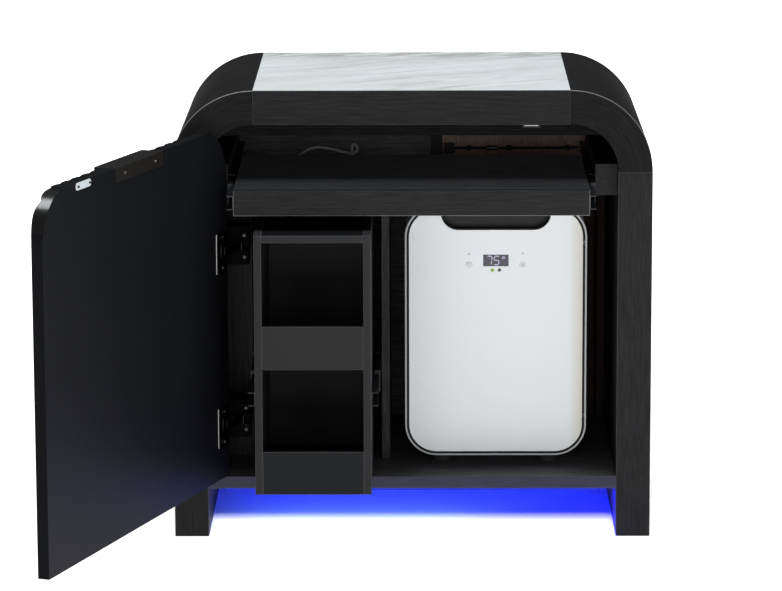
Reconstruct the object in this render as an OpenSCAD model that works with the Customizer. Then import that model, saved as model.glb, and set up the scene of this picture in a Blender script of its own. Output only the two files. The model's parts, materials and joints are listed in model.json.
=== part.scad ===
// Bedside cabinet with an arched frame, a stone inset top, a fluted hinged door,
// a pull-out tray, a pull-out rack and a built-in small refrigerator.
// Millimetres. Origin: middle of the footprint on the floor. +X right, +Y back, +Z up.
// The door, tray and rack are drawn where they stand when the cabinet is open.

/* [Frame] */
// Overall width over both legs
body_w = 700; // [690:5:760]
// Depth from the front plane to the back edge
body_d = 400; // [395:5:450]
// Overall height
body_h = 665; // [660:5:740]
// Thickness of the legs and of the arch
frame_t = 50; // [40:1:56]
// Outer radius of the arched top corners
corner_r = 120; // [104:2:130]
// Thickness of the stone inset in the top
stone_t = 15; // [10:1:25]
// Width of the wooden lip in front of and behind the stone
stone_lip = 3; // [2:0.5:8]
// Depth of the front and back aprons
apron_d = 30; // [24:1:36]
// Thickness of the board under the top
sub_top_t = 22; // [15:1:26]
// Set-back of that board behind the front plane
sub_top_set = 40; // [39:1:60]
// Open room between that board and the tray
tray_room = 60; // [45:1:80]
// Height of the underside of the bottom board above the floor
board_z = 73; // [60:1:90]
// Thickness of the bottom board
board_t = 18; // [15:1:22]
// Thickness of the back panels
back_t = 9; // [6:1:12]
// Set-back of the back panels from the back edge
back_inset = 2; // [1.5:0.5:4]
// Distance of the joint between the back panels right of the middle
back_joint_x = 37.8; // [20:0.1:44]
// Width of the H-shaped strip in that joint
strip_w = 18; // [12:1:20]
// Thickness of the strip's web
strip_web = 2; // [1.5:0.1:3]
// Thickness of the strip's flanges
strip_t = 1.2; // [1:0.1:1.5]

/* [Vents and cable hole] */
// Number of vents in the right back panel
vent_count = 8; // [4:1:9]
// Height of a vent
vent_h = 8; // [5:1:10]
// Distance from vent to vent
vent_pitch = 18; // [14:1:19]
// Width of the vents
vent_w = 150; // [100:5:150]
// Distance of the vents' middle right of the refrigerator's middle
vent_shift = 15; // [10:1:20]
// Diameter of the cable hole
cable_hole_d = 40; // [30:1:50]
// Distance of the cable hole's middle from the right leg
cable_hole_side = 85.8; // [60:0.1:100]
// Height of the cable hole's middle above the bottom board
cable_hole_up = 45; // [35:1:60]

/* [Inner boards] */
// Thickness of the divider
divider_t = 12; // [9:1:15]
// Set-back of the divider behind the front plane
divider_set = 107; // [100:1:130]
// Distance of the divider's left face left of the middle
divider_x = 45.3; // [44:0.1:49]
// Width of the filler beside the left leg
filler_w = 62; // [58:0.1:66]
// Set-back of the filler behind the front plane
filler_set = 120; // [110:1:135]
// Thickness of the filler's two boards
filler_t = 15; // [12:1:18]
// Air left between the inner boards and the tray above them
under_tray_gap = 6; // [3:1:12]

/* [Door] */
// Thickness of the door over its flutes
door_t = 20; // [19:0.5:22]
// Gap between the door and the frame around it
door_gap = 3; // [2.5:0.1:4]
// Angle at which the door stands open
door_open = 110.8; // [95:0.1:112]
// Number of flutes across the door
flute_count = 20; // [14:1:26]
// Depth of the flutes
flute_depth = 3.5; // [2:0.1:3.7]
// Depth of the two cross grooves
groove_depth = 4; // [2:0.5:5]
// Height of the lower cross groove above the floor
groove_z = 354; // [300:1:380]
// Distance between the two cross grooves
groove_step = 22; // [16:1:40]
// How much rounder the door's top corners are than the arch around them
door_corner_ease = 5; // [4:0.5:8]
// Rounding of the door's hinge edge
door_edge_r = 4; // [3:0.5:5]

/* [Door hinges] */
// Height of the lower hinge above the floor
low_hinge_z = 171.5; // [150:0.5:178]
// Distance of the upper hinge below the door's top
high_hinge_drop = 181; // [160:0.5:220]
// How far a hinge's link turns on its arm
link_swing = 32.8; // [31:0.1:34]
// Distance of the arm's pin from the leg's inner face
arm_pin_x = 51.2; // [50:0.1:52]
// Distance of the arm's pin behind the closed door
arm_pin_gap = 3.5; // [3.3:0.1:4]
// Distance of the cup's pin from the leg's inner face
cup_pin_x = 11.2; // [11:0.1:12]
// Distance of the cup's pin inside the closed door's inner face
cup_pin_in = 6; // [5.6:0.1:6.4]
// Width of a hinge's link
link_w = 12; // [10:0.5:13]
// Sheet thickness of the links and arms
link_t = 2; // [1.5:0.1:2]
// Diameter of the hinge cup
cup_d = 35; // [35:0.5:36]
// Depth of the hinge cup in the door
cup_depth = 14.5; // [14:0.1:15]
// Wood left between the cup and the door's edge
cup_edge = 3; // [2.8:0.1:3.4]
// Distance between the two screws of a cup
cup_screw_pitch = 45; // [44:0.5:52]
// Diameter of the hinge pin
hinge_pin_d = 2.5; // [2.4:0.1:2.6]
// Width of the hinge block on the leg
block_w = 62; // [60:1:66]
// Height of the hinge block
block_h = 56; // [52:1:70]
// Depth of the hinge block
block_d = 42; // [30:1:60]
// Set-back of the hinge block behind the front plane
block_set = 30; // [29:0.5:32]

/* [Door fittings] */
// Length of the edge pull
pull_w = 152; // [100:1:200]
// Height of the edge pull's plate on the inner face
pull_plate_h = 20; // [18:1:44]
// Reach of the edge pull's lip in front of the door
pull_lip = 11; // [8:1:30]
// Sheet thickness of the edge pull
pull_t = 1.5; // [1:0.1:2]
// Thickness of its plate on the door's inner face
pull_plate_t = 2; // [1:0.1:2.4]
// Height of the lip's turned-down edge
pull_drop = 7; // [4:0.5:12]
// Length of the strike plate
strike_w = 45; // [40:1:50]
// Height of the strike plate
strike_h = 10; // [9:1:18]
// Distance of the catch and the strike plate from the right leg
catch_side = 126; // [100:1:180]
// Width of the magnetic catch
catch_w = 28; // [22:1:34]
// Height of the magnetic catch
catch_h = 9; // [7:0.5:11]

/* [Runners] */
// Thickness of a runner, cabinet side to drawer side
rail_t = 12.7; // [12:0.1:13.5]
// Height of a runner's outer rail
rail_h = 35; // [34:0.5:38]
// Height of a runner's inner rail
rail_in_h = 20; // [18:0.5:21]
// Gap between the tray's runners and the back panel
tray_rail_gap = 27; // [20:1:45]
// Gap between the rack's runners and the back panel
rack_rail_gap = 15; // [6:1:30]
// Sheet thickness of a rail
rail_sheet = 1.2; // [1:0.1:1.5]

/* [Tray] */
// Height of the tray over its front board
tray_h = 37; // [36:1:44]
// Gap between the closed tray and the back panel
tray_back_gap = 23; // [8:1:25]
// How far the open tray stands out of the front plane
tray_out = 81; // [60:1:81]
// Where the closed tray's front stands behind the front plane
tray_in = 60; // [60:1:64]
// Thickness of the tray's front board
tray_front_t = 15; // [12:1:18]
// Thickness of the tray's top board
tray_board_t = 15; // [12:1:18]
// Thickness of the tray's side and back boards
tray_side_t = 12; // [9:1:15]
// Height of the battens that carry the tray's runners
batten_h = 46; // [40:1:52]
// Width of the battens
batten_w = 32.1; // [30:0.1:34]
// How far the battens' underside stands above the tray's underside
batten_lift = 10; // [4:1:12]
// Set-back of the battens behind the front plane
batten_set = 29; // [28:1:40]
// Room between the battens and the light's lead behind them
batten_lead_gap = 7; // [5:0.5:10]

/* [Rack] */
// Gap between the rack and the tray above it
rack_top_gap = 21.5; // [12:0.5:40]
// Gap between the closed rack and the back panel
rack_back_gap = 7; // [4:1:20]
// How far the open rack stands out of the front plane
rack_out = 120; // [90:1:120]
// Where the closed rack's front stands behind the front plane
rack_in = 112; // [110:1:115]
// Gap between the rack and the bottom board
rack_gap = 4; // [3:0.5:6]
// Thickness of the rack's boards
rack_t = 10.5; // [10:0.5:15]
// Thickness of the rack's side boards
rack_side_t = 11; // [10:0.5:15]
// Thickness of the rack's back
rack_back_t = 9; // [6:1:12]
// Height of the rack's two front rails
rack_rail_h = 63; // [40:1:80]
// Height of the rack's middle shelf above its underside
rack_shelf_z = 184; // [150:1:210]
// Height of the middle of the rack's runners above the bottom board
rack_runner_z = 142; // [120:1:150]

/* [Refrigerator] */
// Width of the refrigerator
fridge_w = 268; // [266:0.5:271]
// Air behind the refrigerator
fridge_back_air = 24; // [16:1:50]
// Corner radius of the refrigerator
fridge_r = 47; // [40:1:52]
// Set-back of its door behind the front plane
fridge_set = 60; // [55:1:70]
// Distance of its middle right of the cabinet's middle
fridge_x = 123.8; // [123:0.1:125]
// Height of its feet
foot_h = 17; // [12:1:20]
// Diameter of its feet
foot_d = 29; // [24:1:34]
// Distance of its feet from its middle
foot_x = 79.5; // [70:0.5:90]
// Distance of its front feet from the shell's front
foot_front_set = 0.5; // [0.5:0.5:20]
// Distance of its rear feet from the shell's back
foot_back_set = 9.5; // [5:0.5:30]
// Air between the refrigerator and the tray
fridge_air = 11; // [8:1:16]
// Thickness of its outer shell
shell_t = 3; // [2:0.5:4]
// Thickness of its insulation
foam_t = 24; // [20:1:30]
// Wall of its inner tub
tub_t = 2.5; // [2:0.5:4]
// Height of its shelf above its underside
shelf_up = 190; // [120:1:240]
// Thickness of the shelf
shelf_t = 4; // [3:0.5:6]
// Width of a slot of the shelf
shelf_slot = 10; // [6:1:14]
// Distance from slot to slot
shelf_pitch = 20; // [16:1:30]
// Solid border round the shelf's slots
shelf_rim = 16; // [10:1:24]
// Distance of the shelf from the tub's front and back
shelf_set = 26; // [20:1:40]
// Gap between the shelf and the tub's sides
shelf_gap = 1; // [0.5:0.1:2]
// Width of the ribs under the shelf
rib = 5; // [4:0.5:8]
// Corner radius of the tub
tub_r = 24; // [16:1:30]
// Thickness of its door
fdoor_t = 26; // [24:1:30]
// Thickness of the door seal
seal_t = 4; // [3:0.5:5]
// Width of the grey rim around its door
rim_t = 2.5; // [2:0.5:4]
// Width of the dark gap inside that rim
rim_gap = 3.5; // [1.5:0.5:4]
// Thickness of the white front panel
fpanel_t = 4; // [3:0.5:5]
// Distance of the hinge pins from the door's right edge
fpin_edge = 9.5; // [9:0.5:10]
// Diameter of those pins
fpin_d = 5; // [4:0.5:6]
// Width of the finger pocket
pocket_w = 159; // [120:1:180]
// Height of the finger pocket
pocket_h = 29; // [24:1:40]
// Depth of the finger pocket
pocket_d = 18; // [14:1:20]
// Corner radius of the finger pocket
pocket_r = 24; // [12:1:26]

/* [Cooling] */
// Depth kept for the heat sink and the fan
works_d = 46; // [44:1:60]
// Distance of the fan's middle below the refrigerator's top
sink_drop = 157; // [120:1:200]
// Width and height of the heat sink
sink_w = 104; // [80:1:120]
// Thickness of the heat sink's base
sink_base_t = 6; // [4:0.5:8]
// Number of fins
fin_count = 14; // [8:1:20]
// Thickness of a fin
fin_t = 1.6; // [1:0.1:2.5]
// Height of the fins
fin_h = 16; // [10:1:20]
// Radius over the fan's blades
fan_r = 44; // [36:1:50]
// Radius of the fan's hub
fan_hub_r = 16; // [12:1:20]
// Thickness of the fan
fan_t = 12; // [10:1:14]
// Gap between the fan and the shell's back
fan_gap = 4; // [3:0.5:6]
// Number of blades
fan_blades = 7; // [5:1:11]
// Thickness of a blade
blade_t = 1.6; // [1:0.1:2.5]
// Width of a blade
blade_w = 14; // [10:1:15]
// Radius of the post that the fan turns on
fan_pin_r = 2; // [1.5:0.1:3]
// Radius of the motor behind the hub
motor_r = 7; // [5:0.5:10]
// Width and height of the rear grille
grille_w = 132; // [120:1:150]
// Thickness of the rear grille
grille_t = 3; // [2:0.5:4]
// Width of the grille's border
grille_rim = 12; // [9:1:16]
// Width of the grille's seat on the shell
grille_seat = 8; // [5:1:8]
// Height of a slot of the grille
grille_slot = 5; // [3:0.5:6]
// Distance from slot to slot
grille_pitch = 9; // [7:0.5:12]

/* [Display] */
// Width of the display window
display_w = 37; // [30:1:50]
// Height of the display window
display_h = 17; // [14:1:22]
// Distance of the display's middle below the refrigerator's top
display_drop = 82; // [76:1:120]
// Distance of the two keys from the display's middle
key_x = 39.6; // [34:0.1:60]
// Diameter of a key
key_d = 9; // [7:0.5:12]
// Travel of a key
key_travel = 0.8; // [0.5:0.1:1]
// How far the keys sit below the display's middle
key_drop = 7; // [4:0.5:10]

/* [Lighting] */
// Width of the light channel
led_w = 16; // [12:1:20]
// Height of the light channel
led_h = 8; // [6:1:12]
// Set-back of the light channel behind the front plane
led_set = 20; // [12:1:40]
// Distance of the channel's ends from the legs
led_end = 25; // [24:1:40]
// Wall of the light channel
led_wall = 1; // [0.8:0.1:1.5]
// Width of the tape that carries the lights
led_tape_w = 10; // [8:0.5:10]
// Thickness of that tape
led_tape_t = 0.6; // [0.4:0.1:1]
// Width of one light
led_chip = 5; // [3:0.1:5]
// Height of one light
led_chip_t = 1.6; // [1:0.1:2]
// Distance from light to light
led_pitch = 16.6; // [10:0.1:33]
// Diameter of the light's lead
lead_d = 4.4; // [4:0.1:4.6]
// Distance of the lead from the right leg
lead_side = 14; // [12:1:16]
// Distance of the lead from the back panel
lead_back = 5; // [4.5:0.1:6]
// Height of the lead on the back panel above the tray's underside
lead_up = 21; // [15:1:30]
// Width of the notch in the bottom board for the lead
notch_w = 10; // [8:1:12]
// Depth of that notch
notch_d = 19; // [17:1:24]

/* [Hidden] */
$fn = 48;
fit = 0.3;                 // clearance between parts that move or seat beside each other
pin_fit = 0.05;            // radial clearance of a pin in its bore
front_y = -body_d / 2;
back_y = body_d / 2;
in_x = body_w / 2 - frame_t;            // half the width between the legs
seam_x = body_w / 2 - corner_r;         // where the arch ends and the straight top begins
spring_z = body_h - corner_r;           // where the arch begins on the legs
in_r = corner_r - frame_t;
apron_z = body_h - frame_t;             // underside of the top frame
floor_z = board_z + board_t;            // upper side of the bottom board
panel_y = back_y - back_inset - back_t; // front of the back panels
tray_z = apron_z - sub_top_t - tray_room - tray_h;
boards_top = tray_z - under_tray_gap;
// Door, in its closed place
door_z = floor_z + door_gap;
door_top = apron_z - door_gap;
door_l = -in_x + door_gap;
door_w = 2 * (in_x - door_gap);
flute_w = door_w / flute_count;
flute_r = flute_w * flute_w / 8 / flute_depth + flute_depth / 2;
door_back = front_y + door_t;
arm_pin = [-in_x + arm_pin_x, door_back + arm_pin_gap, 0];
cup_pin = [-in_x + cup_pin_x, door_back - cup_pin_in, 0];   // with the door closed
cup_x = door_l + cup_edge + cup_d / 2;
catch_x = in_x - catch_side;
cup_wall = 1.2;
flange_t = 1.2;
flange_w = cup_d + 2;
flange_h = cup_screw_pitch + 15;
knuckle_r = hinge_pin_d / 2 + 1.05;
arm_w = link_w + 2 * fit + 2 * link_t;  // over the arm's two cheeks
plate_y = front_y + block_set;          // front of the arm's plate
plate_in = 30;                          // left end of the arm's plate, from the leg
wing_h = 44;
wing_w = 14;
wing_x = -in_x + block_w - wing_w;
screw_pitch = 32;
hinge_zs = [low_hinge_z, door_top - high_hinge_drop];
screw_d = 3;
head_d = 7;
head_h = 1.4;
// Tray and rack
tray_w = 2 * (in_x - batten_w - rail_t);
tray_front = front_y - tray_out;
tray_d = panel_y - tray_back_gap - front_y - tray_in;
tray_back = tray_front + tray_d;
tray_travel = tray_out + tray_in;
tray_rail_z = tray_z + tray_h / 2;
tray_rail_y = front_y + tray_in + 2;    // the runners start just behind the closed tray's front
tray_rail_l = panel_y - tray_rail_gap - tray_rail_y;
rack_l = -in_x + filler_w + rail_t;
rack_r = -divider_x - rail_t;
rack_front = front_y - rack_out;
rack_d = panel_y - rack_back_gap - front_y - rack_in;
rack_back = rack_front + rack_d;
rack_travel = rack_out + rack_in;
rack_z = floor_z + rack_gap;
rack_h = tray_z - rack_top_gap - rack_z;
rack_rail_y = front_y + filler_set + 4; // and the rack's just behind the filler's front
rack_rail_l = panel_y - rack_rail_gap - rack_rail_y;
rack_rail_z = floor_z + rack_runner_z;
// Refrigerator
fridge_z = floor_z + foot_h;
fridge_h = tray_z - fridge_air - fridge_z;
fridge_front = front_y + fridge_set;
fridge_cz = fridge_z + fridge_h / 2;
shell_y = fridge_front + fdoor_t + seal_t;
shell_back = panel_y - fridge_back_air - grille_t;
tub_back = shell_back - works_d;
tub_in = shell_t + foam_t;              // outside of the tub, in from the shell
flange_out = tub_in - 9;                // outer edge of the tub's flange, in from the shell
tub_flange_t = 2;
fpin = [fridge_x + fridge_w / 2 - fpin_edge, fridge_front + fdoor_t / 2];
fpin_l = 30;
ear_t = 6;
ear_w = 11;
ear_set = 55;                           // from the refrigerator's top and underside to its ears
ear_zs = [fridge_z + ear_set, fridge_z + fridge_h - ear_set - ear_t];
panel_back = fridge_front + fpanel_t;
board_gap = 2;                          // room for the control board behind the panel
display_cz = fridge_z + fridge_h - display_drop;
key_z = display_cz - key_drop;
key_flange_d = key_d + 2.5;
pocket_z = fridge_z + fridge_h - rim_t - rim_gap - pocket_h;
sink_z = fridge_z + fridge_h - sink_drop;
fan_y = shell_back - fan_gap - fan_t;
// Light and its lead
led_y = front_y + led_set;
led_half = in_x - led_end;
lead_x = in_x - lead_side;
lead_y = panel_y - lead_back;
lead_z = tray_z + lead_up;
under_z = board_z - lead_d / 2 - 0.4;
connector_x = 124;
connector_l = 16;
connector_r = 4;
inlet_x = back_joint_x + 20;
inlet_w = 16;
inlet_d = 11;
inlet_neck_r = 5;
inlet_bore_r = 2.8;
lead_points_a = [
    [led_half, led_y + 8, board_z - 4], [led_half + 4, led_y + 8, board_z - 4],
    [led_half + 8, led_y + 10, board_z - 4], [led_half + 10.5, led_y + 15, board_z - 4],
    [lead_x, led_y + 22, under_z], [lead_x, led_y + 40, under_z], [lead_x, -80, under_z],
    [lead_x, 0, under_z], [lead_x, 90, under_z], [lead_x, lead_y - 14, under_z],
    [lead_x, lead_y - 6, under_z + 2], [lead_x, lead_y - 1.5, under_z + 7],
    [lead_x, lead_y, under_z + 14], [lead_x, lead_y, 130], [lead_x, lead_y, 220],
    [lead_x, lead_y, 320], [lead_x, lead_y, 420], [lead_x, lead_y, lead_z - 14],
    [lead_x - 1.5, lead_y, lead_z - 7], [lead_x - 6, lead_y, lead_z - 2],
    [lead_x - 14, lead_y, lead_z], [220, lead_y, lead_z], [180, lead_y, lead_z],
    [connector_x + connector_l / 2, lead_y, lead_z]];
lead_points_b = [
    [connector_x - connector_l / 2, lead_y, lead_z], [100, lead_y, lead_z],
    [inlet_x + inlet_w / 2, lead_y, lead_z]];
clip_spots = [[lead_x, -120, under_z, 0], [lead_x, 60, under_z, 0], [lead_x, lead_y, 180, 1],
    [lead_x, lead_y, 380, 1], [240, lead_y, lead_z, 2], [150, lead_y, lead_z, 2],
    [88, lead_y, lead_z, 2]];
wood = [0.17, 0.17, 0.18];
wood_dark = [0.12, 0.12, 0.13];
steel = [0.72, 0.73, 0.75];
black = [0.06, 0.06, 0.065];
white = [0.93, 0.94, 0.95];

// ---- helpers ----

// A box from its lowest corner to its highest corner
module block(a, b) translate(a) cube(b - a);

// Extrudes an XZ outline along the depth, from y0 back to y1
module in_depth(y0, y1) translate([0, y1, 0]) rotate([90, 0, 0]) linear_extrude(y1 - y0) children();

// A rectangle with round corners, about the origin
module round_rect(w, h, r) {
    square([w - 2 * r, h], center = true);
    square([w, h - 2 * r], center = true);
    for (x = [-1, 1], z = [-1, 1]) translate([x * (w / 2 - r), z * (h / 2 - r)]) circle(r);
}

// The opening inside the arch in XZ, smaller by gap all round, from z0 upwards, its corners rounder by ease
module arch_inside(gap, z0, ease = 0) {
    half = in_x - gap;
    top = apron_z - gap;
    r = in_r - gap + ease;
    translate([-half, z0]) square([2 * half, top - r - z0]);
    translate([-half + r, z0]) square([2 * (half - r), top - z0]);
    for (x = [-half + r, half - r]) translate([x, top - r]) circle(r);
}

// A hole or a rod along Y from y0 to y1
module along_y(x, z, r, y0, y1) translate([x, y1, z]) rotate([90, 0, 0]) cylinder(r = r, h = y1 - y0);

// A screw along Y: head in front of y, shank behind it
module screw_y(x, y, z, l) {
    along_y(x, z, head_d / 2, y - head_h, y);
    along_y(x, z, screw_d / 2, y - 0.01, y + l);
}

// Moves the links, and the door's pieces on them, from closed to where the open door stands
module link_place() translate(arm_pin) rotate([0, 0, link_swing]) translate(-arm_pin) children();
module door_place() link_place()
    translate(cup_pin) rotate([0, 0, -door_open - link_swing]) translate(-cup_pin) children();

// ---- frame ----

module leg(side) color(wood)
    block([side < 0 ? -body_w / 2 : in_x, front_y, 0],
          [side < 0 ? -in_x : body_w / 2, back_y, spring_z]);
module left_leg() leg(-1);
module right_leg() leg(1);

module corner(side) color(wood) in_depth(front_y, back_y)
    translate([side * seam_x, spring_z]) intersection() {
        difference() {
            circle(corner_r, $fn = 96);
            circle(in_r, $fn = 96);
        }
        translate([side < 0 ? -corner_r : 0, 0]) square(corner_r);
    }
module left_corner() corner(-1);
module right_corner() corner(1);

module apron() difference() {
    block([-seam_x, front_y, apron_z], [seam_x, front_y + apron_d, body_h]);
    block([-seam_x - 1, front_y + stone_lip, body_h - stone_t], [seam_x + 1, front_y + apron_d + 1, body_h + 1]);
}
module front_apron() color(wood) apron();
module back_apron() color(wood) mirror([0, 1, 0]) apron();

module top_core() color([0.62, 0.52, 0.4])
    block([-seam_x, front_y + apron_d, apron_z], [seam_x, back_y - apron_d, body_h - stone_t]);

module stone_top() color([0.93, 0.93, 0.92])
    block([-seam_x, front_y + stone_lip, body_h - stone_t], [seam_x, back_y - stone_lip, body_h]);

module sub_top_board() color(wood_dark) intersection() {
    in_depth(front_y + sub_top_set, panel_y) arch_inside(0, 0);
    block([-in_x, front_y, apron_z - sub_top_t], [in_x, back_y, apron_z]);
}

module bottom_board() color(wood) difference() {
    block([-in_x, front_y, board_z], [in_x, panel_y, floor_z]);
    block([lead_x - notch_w / 2, panel_y - notch_d, board_z - 1], [lead_x + notch_w / 2, panel_y + 1, floor_z + 1]);
}

module back_outline(x0, x1) intersection() {
    arch_inside(0, board_z);
    translate([x0, 0]) square([x1 - x0, body_h]);
}
module left_back_panel() color(wood_dark) in_depth(panel_y, panel_y + back_t)
    back_outline(-in_x, back_joint_x - strip_web / 2 - 0.2);

module right_back_panel() color([0.42, 0.31, 0.25]) in_depth(panel_y, panel_y + back_t) difference() {
    back_outline(back_joint_x + strip_web / 2 + 0.2, in_x);
    for (i = [0 : vent_count - 1])
        translate([fridge_x + vent_shift - vent_w / 2, sink_z - vent_pitch * vent_count / 2 + i * vent_pitch])
            square([vent_w, vent_h]);
    translate([in_x - cable_hole_side, floor_z + cable_hole_up]) circle(cable_hole_d / 2);
    translate([inlet_x, lead_z]) circle(inlet_neck_r + 0.2);
}

module back_joint_strip() color([0.2, 0.2, 0.2]) {
    z1 = apron_z - sub_top_t - fit;
    half = strip_w / 2;
    block([back_joint_x - strip_web / 2, panel_y, floor_z], [back_joint_x + strip_web / 2, panel_y + back_t, z1]);
    block([back_joint_x - half, panel_y - strip_t, floor_z], [back_joint_x + half, panel_y, z1]);
    block([back_joint_x - half, panel_y + back_t, floor_z], [back_joint_x + half, panel_y + back_t + strip_t, z1]);
}

// ---- inner boards ----

module divider() color(wood)
    block([-divider_x, front_y + divider_set, floor_z], [-divider_x + divider_t, panel_y, boards_top]);

module left_filler() color(wood) {
    x1 = -in_x + filler_w;
    y0 = front_y + filler_set;
    block([-in_x, y0, floor_z], [x1, y0 + filler_t, boards_top]);
    block([x1 - filler_t, y0 + filler_t, floor_z], [x1, panel_y, boards_top]);
}

module tray_battens() color(wood) for (side = [0, 1]) mirror([side, 0, 0])
    in_depth(front_y + batten_set, lead_y - batten_lead_gap) intersection() {
        arch_inside(0, tray_z + batten_lift);
        translate([in_x - batten_w, tray_z + batten_lift]) square([batten_w, batten_h]);
    }

// ---- door hinges on the cabinet ----

block_screw_l = 20;
adjuster_l = 8;
arm_screws = [[wing_x + wing_w / 2, screw_pitch / 2], [wing_x + wing_w / 2, -screw_pitch / 2]];
adjusters = [-in_x + plate_in + 6, -in_x + plate_in + 14];

module hinge_blocks() color(black) for (z = hinge_zs) difference() {
    block([-in_x, plate_y + link_t, z - block_h / 2],
          [-in_x + block_w, plate_y + link_t + block_d, z + block_h / 2]);
    for (s = arm_screws) along_y(s[0], z + s[1], screw_d / 2 + pin_fit, plate_y, plate_y + block_screw_l + 4);
    for (x = adjusters) along_y(x, z, screw_d / 2 + pin_fit, plate_y, plate_y + adjuster_l + 2);
}

// The arm: a plate on the block and two cheeks that hold the pin of the link
module hinge_arm(z) {
    difference() {
        union() {
            block([-in_x + plate_in, plate_y, z - arm_w / 2], [-in_x + block_w, plate_y + link_t, z + arm_w / 2]);
            block([wing_x, plate_y, z - wing_h / 2], [wing_x + wing_w, plate_y + link_t, z + wing_h / 2]);
        }
        for (s = arm_screws) along_y(s[0], z + s[1], screw_d / 2 + pin_fit, plate_y - 1, plate_y + link_t + 1);
        for (x = adjusters) along_y(x, z, screw_d / 2 + pin_fit, plate_y - 1, plate_y + link_t + 1);
    }
    for (z0 = [z - arm_w / 2, z + arm_w / 2 - link_t]) {
        block([arm_pin[0] - knuckle_r, arm_pin[1], z0], [-in_x + block_w, plate_y + 0.5, z0 + link_t]);
        translate([arm_pin[0], arm_pin[1], z0]) cylinder(r = knuckle_r, h = link_t);
    }
    translate([arm_pin[0], arm_pin[1], z - arm_w / 2]) cylinder(r = hinge_pin_d / 2, h = arm_w);
}
module hinge_arms() color(steel) for (z = hinge_zs) hinge_arm(z);

// A hinge's link, from the pin in the cup down into the cup and up again to the arm's pin
link_points = [[0, 0], [3.4, -5.2], [8, -5.4], [13, -2.6], [23, 8.4], [28, 9.5]];
module link_strip(a, b) {
    along = unit(b - a);
    across = [-along[1], along[0]] * link_t / 2;
    polygon([a - across, b - across, b + across, a + across]);
    translate(b) circle(link_t / 2);
}
module hinge_link(z) difference() {
    p = concat([for (q = link_points) [cup_pin[0], cup_pin[1]] + q], [[arm_pin[0], arm_pin[1]]]);
    translate([0, 0, z - link_w / 2]) linear_extrude(link_w) {
        for (i = [0 : len(p) - 2]) link_strip(p[i], p[i + 1]);
        for (q = [p[0], p[len(p) - 1]]) translate(q) circle(knuckle_r);
    }
    for (q = [cup_pin, arm_pin]) translate([q[0], q[1], z - link_w])
        cylinder(r = hinge_pin_d / 2 + pin_fit, h = 2 * link_w);
}
module hinge_links() color(steel) link_place() for (z = hinge_zs) hinge_link(z);

module cabinet_screws() color(steel) for (z = hinge_zs) {
    for (s = arm_screws) screw_y(s[0], plate_y, z + s[1], block_screw_l);
    for (x = adjusters) screw_y(x, plate_y, z, adjuster_l);
}

catch_y = door_back + flange_t + 0.5;
catch_d = 16;
module magnet_catch() color(black)
    block([catch_x - catch_w / 2, catch_y, apron_z - catch_h], [catch_x + catch_w / 2, catch_y + catch_d, apron_z]);

// ---- runners ----

// Cross-sections in XZ of a left-hand runner, cabinet side at x = 0, drawer side at x = rail_t
rail_side_gap = 3;                      // how far the outer rail's lips stay off the drawer's side
mid_h = rail_h - 2 * rail_sheet - 2 * fit;
module outer_section() {
    translate([0, -rail_h / 2]) square([rail_sheet, rail_h]);
    for (z = [-rail_h / 2, rail_h / 2 - rail_sheet]) translate([0, z]) square([rail_t - rail_side_gap, rail_sheet]);
}
module mid_section() {
    ball_h = (mid_h - rail_in_h) / 2 - fit;
    x0 = rail_sheet + fit;
    translate([x0, -mid_h / 2]) square([rail_sheet, mid_h]);
    for (z = [-mid_h / 2, mid_h / 2 - ball_h]) translate([x0, z]) square([rail_t - rail_side_gap - x0, ball_h]);
}
module inner_section() {
    x0 = 2 * (rail_sheet + fit);
    translate([rail_t - rail_sheet, -rail_in_h / 2]) square([rail_sheet, rail_in_h]);
    for (z = [-rail_in_h / 2, rail_in_h / 2 - rail_sheet]) translate([x0, z]) square([rail_t - x0, rail_sheet]);
}

// A left-hand and a right-hand rail of one section, moved by shift from where the outer rails are
module rail_pair(xl, xr, y0, z, l) {
    translate([xl, 0, z]) in_depth(y0, y0 + l) children();
    translate([xr, 0, z]) mirror([1, 0, 0]) in_depth(y0, y0 + l) children();
}
tray_rail_x = in_x - batten_w;
module tray_rails(shift) color(steel)
    rail_pair(-tray_rail_x, tray_rail_x, tray_rail_y + shift, tray_rail_z, tray_rail_l) children();
module rack_rails(shift) color(steel)
    rail_pair(-in_x + filler_w, -divider_x, rack_rail_y + shift, rack_rail_z, rack_rail_l) children();
module tray_outer_rails() tray_rails(0) outer_section();
module tray_mid_rails() tray_rails(-tray_travel / 2) mid_section();
module tray_inner_rails() tray_rails(-tray_travel) inner_section();
module rack_outer_rails() rack_rails(0) outer_section();
module rack_mid_rails() rack_rails(-rack_travel / 2) mid_section();
module rack_inner_rails() rack_rails(-rack_travel) inner_section();

// ---- light and its lead ----

module led_channel() color([0.75, 0.76, 0.78]) difference() {
    block([-led_half, led_y, board_z - led_h], [led_half, led_y + led_w, board_z]);
    block([-led_half - 1, led_y + led_wall, board_z - led_h - 1],
          [led_half + 1, led_y + led_w - led_wall, board_z - led_wall]);
}
module led_strip() color([0.85, 0.92, 1]) {
    half = led_half - 3;
    y = led_y + led_w / 2;
    strip_z = board_z - led_wall - led_tape_t;
    count = floor(2 * half / led_pitch);
    block([-half, y - led_tape_w / 2, strip_z], [half, y + led_tape_w / 2, strip_z + led_tape_t]);
    for (i = [0 : count - 1]) {
        x = (i - (count - 1) / 2) * led_pitch;
        block([x - led_chip / 2, y - led_chip / 2, strip_z - led_chip_t], [x + led_chip / 2, y + led_chip / 2, strip_z]);
    }
}

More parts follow.
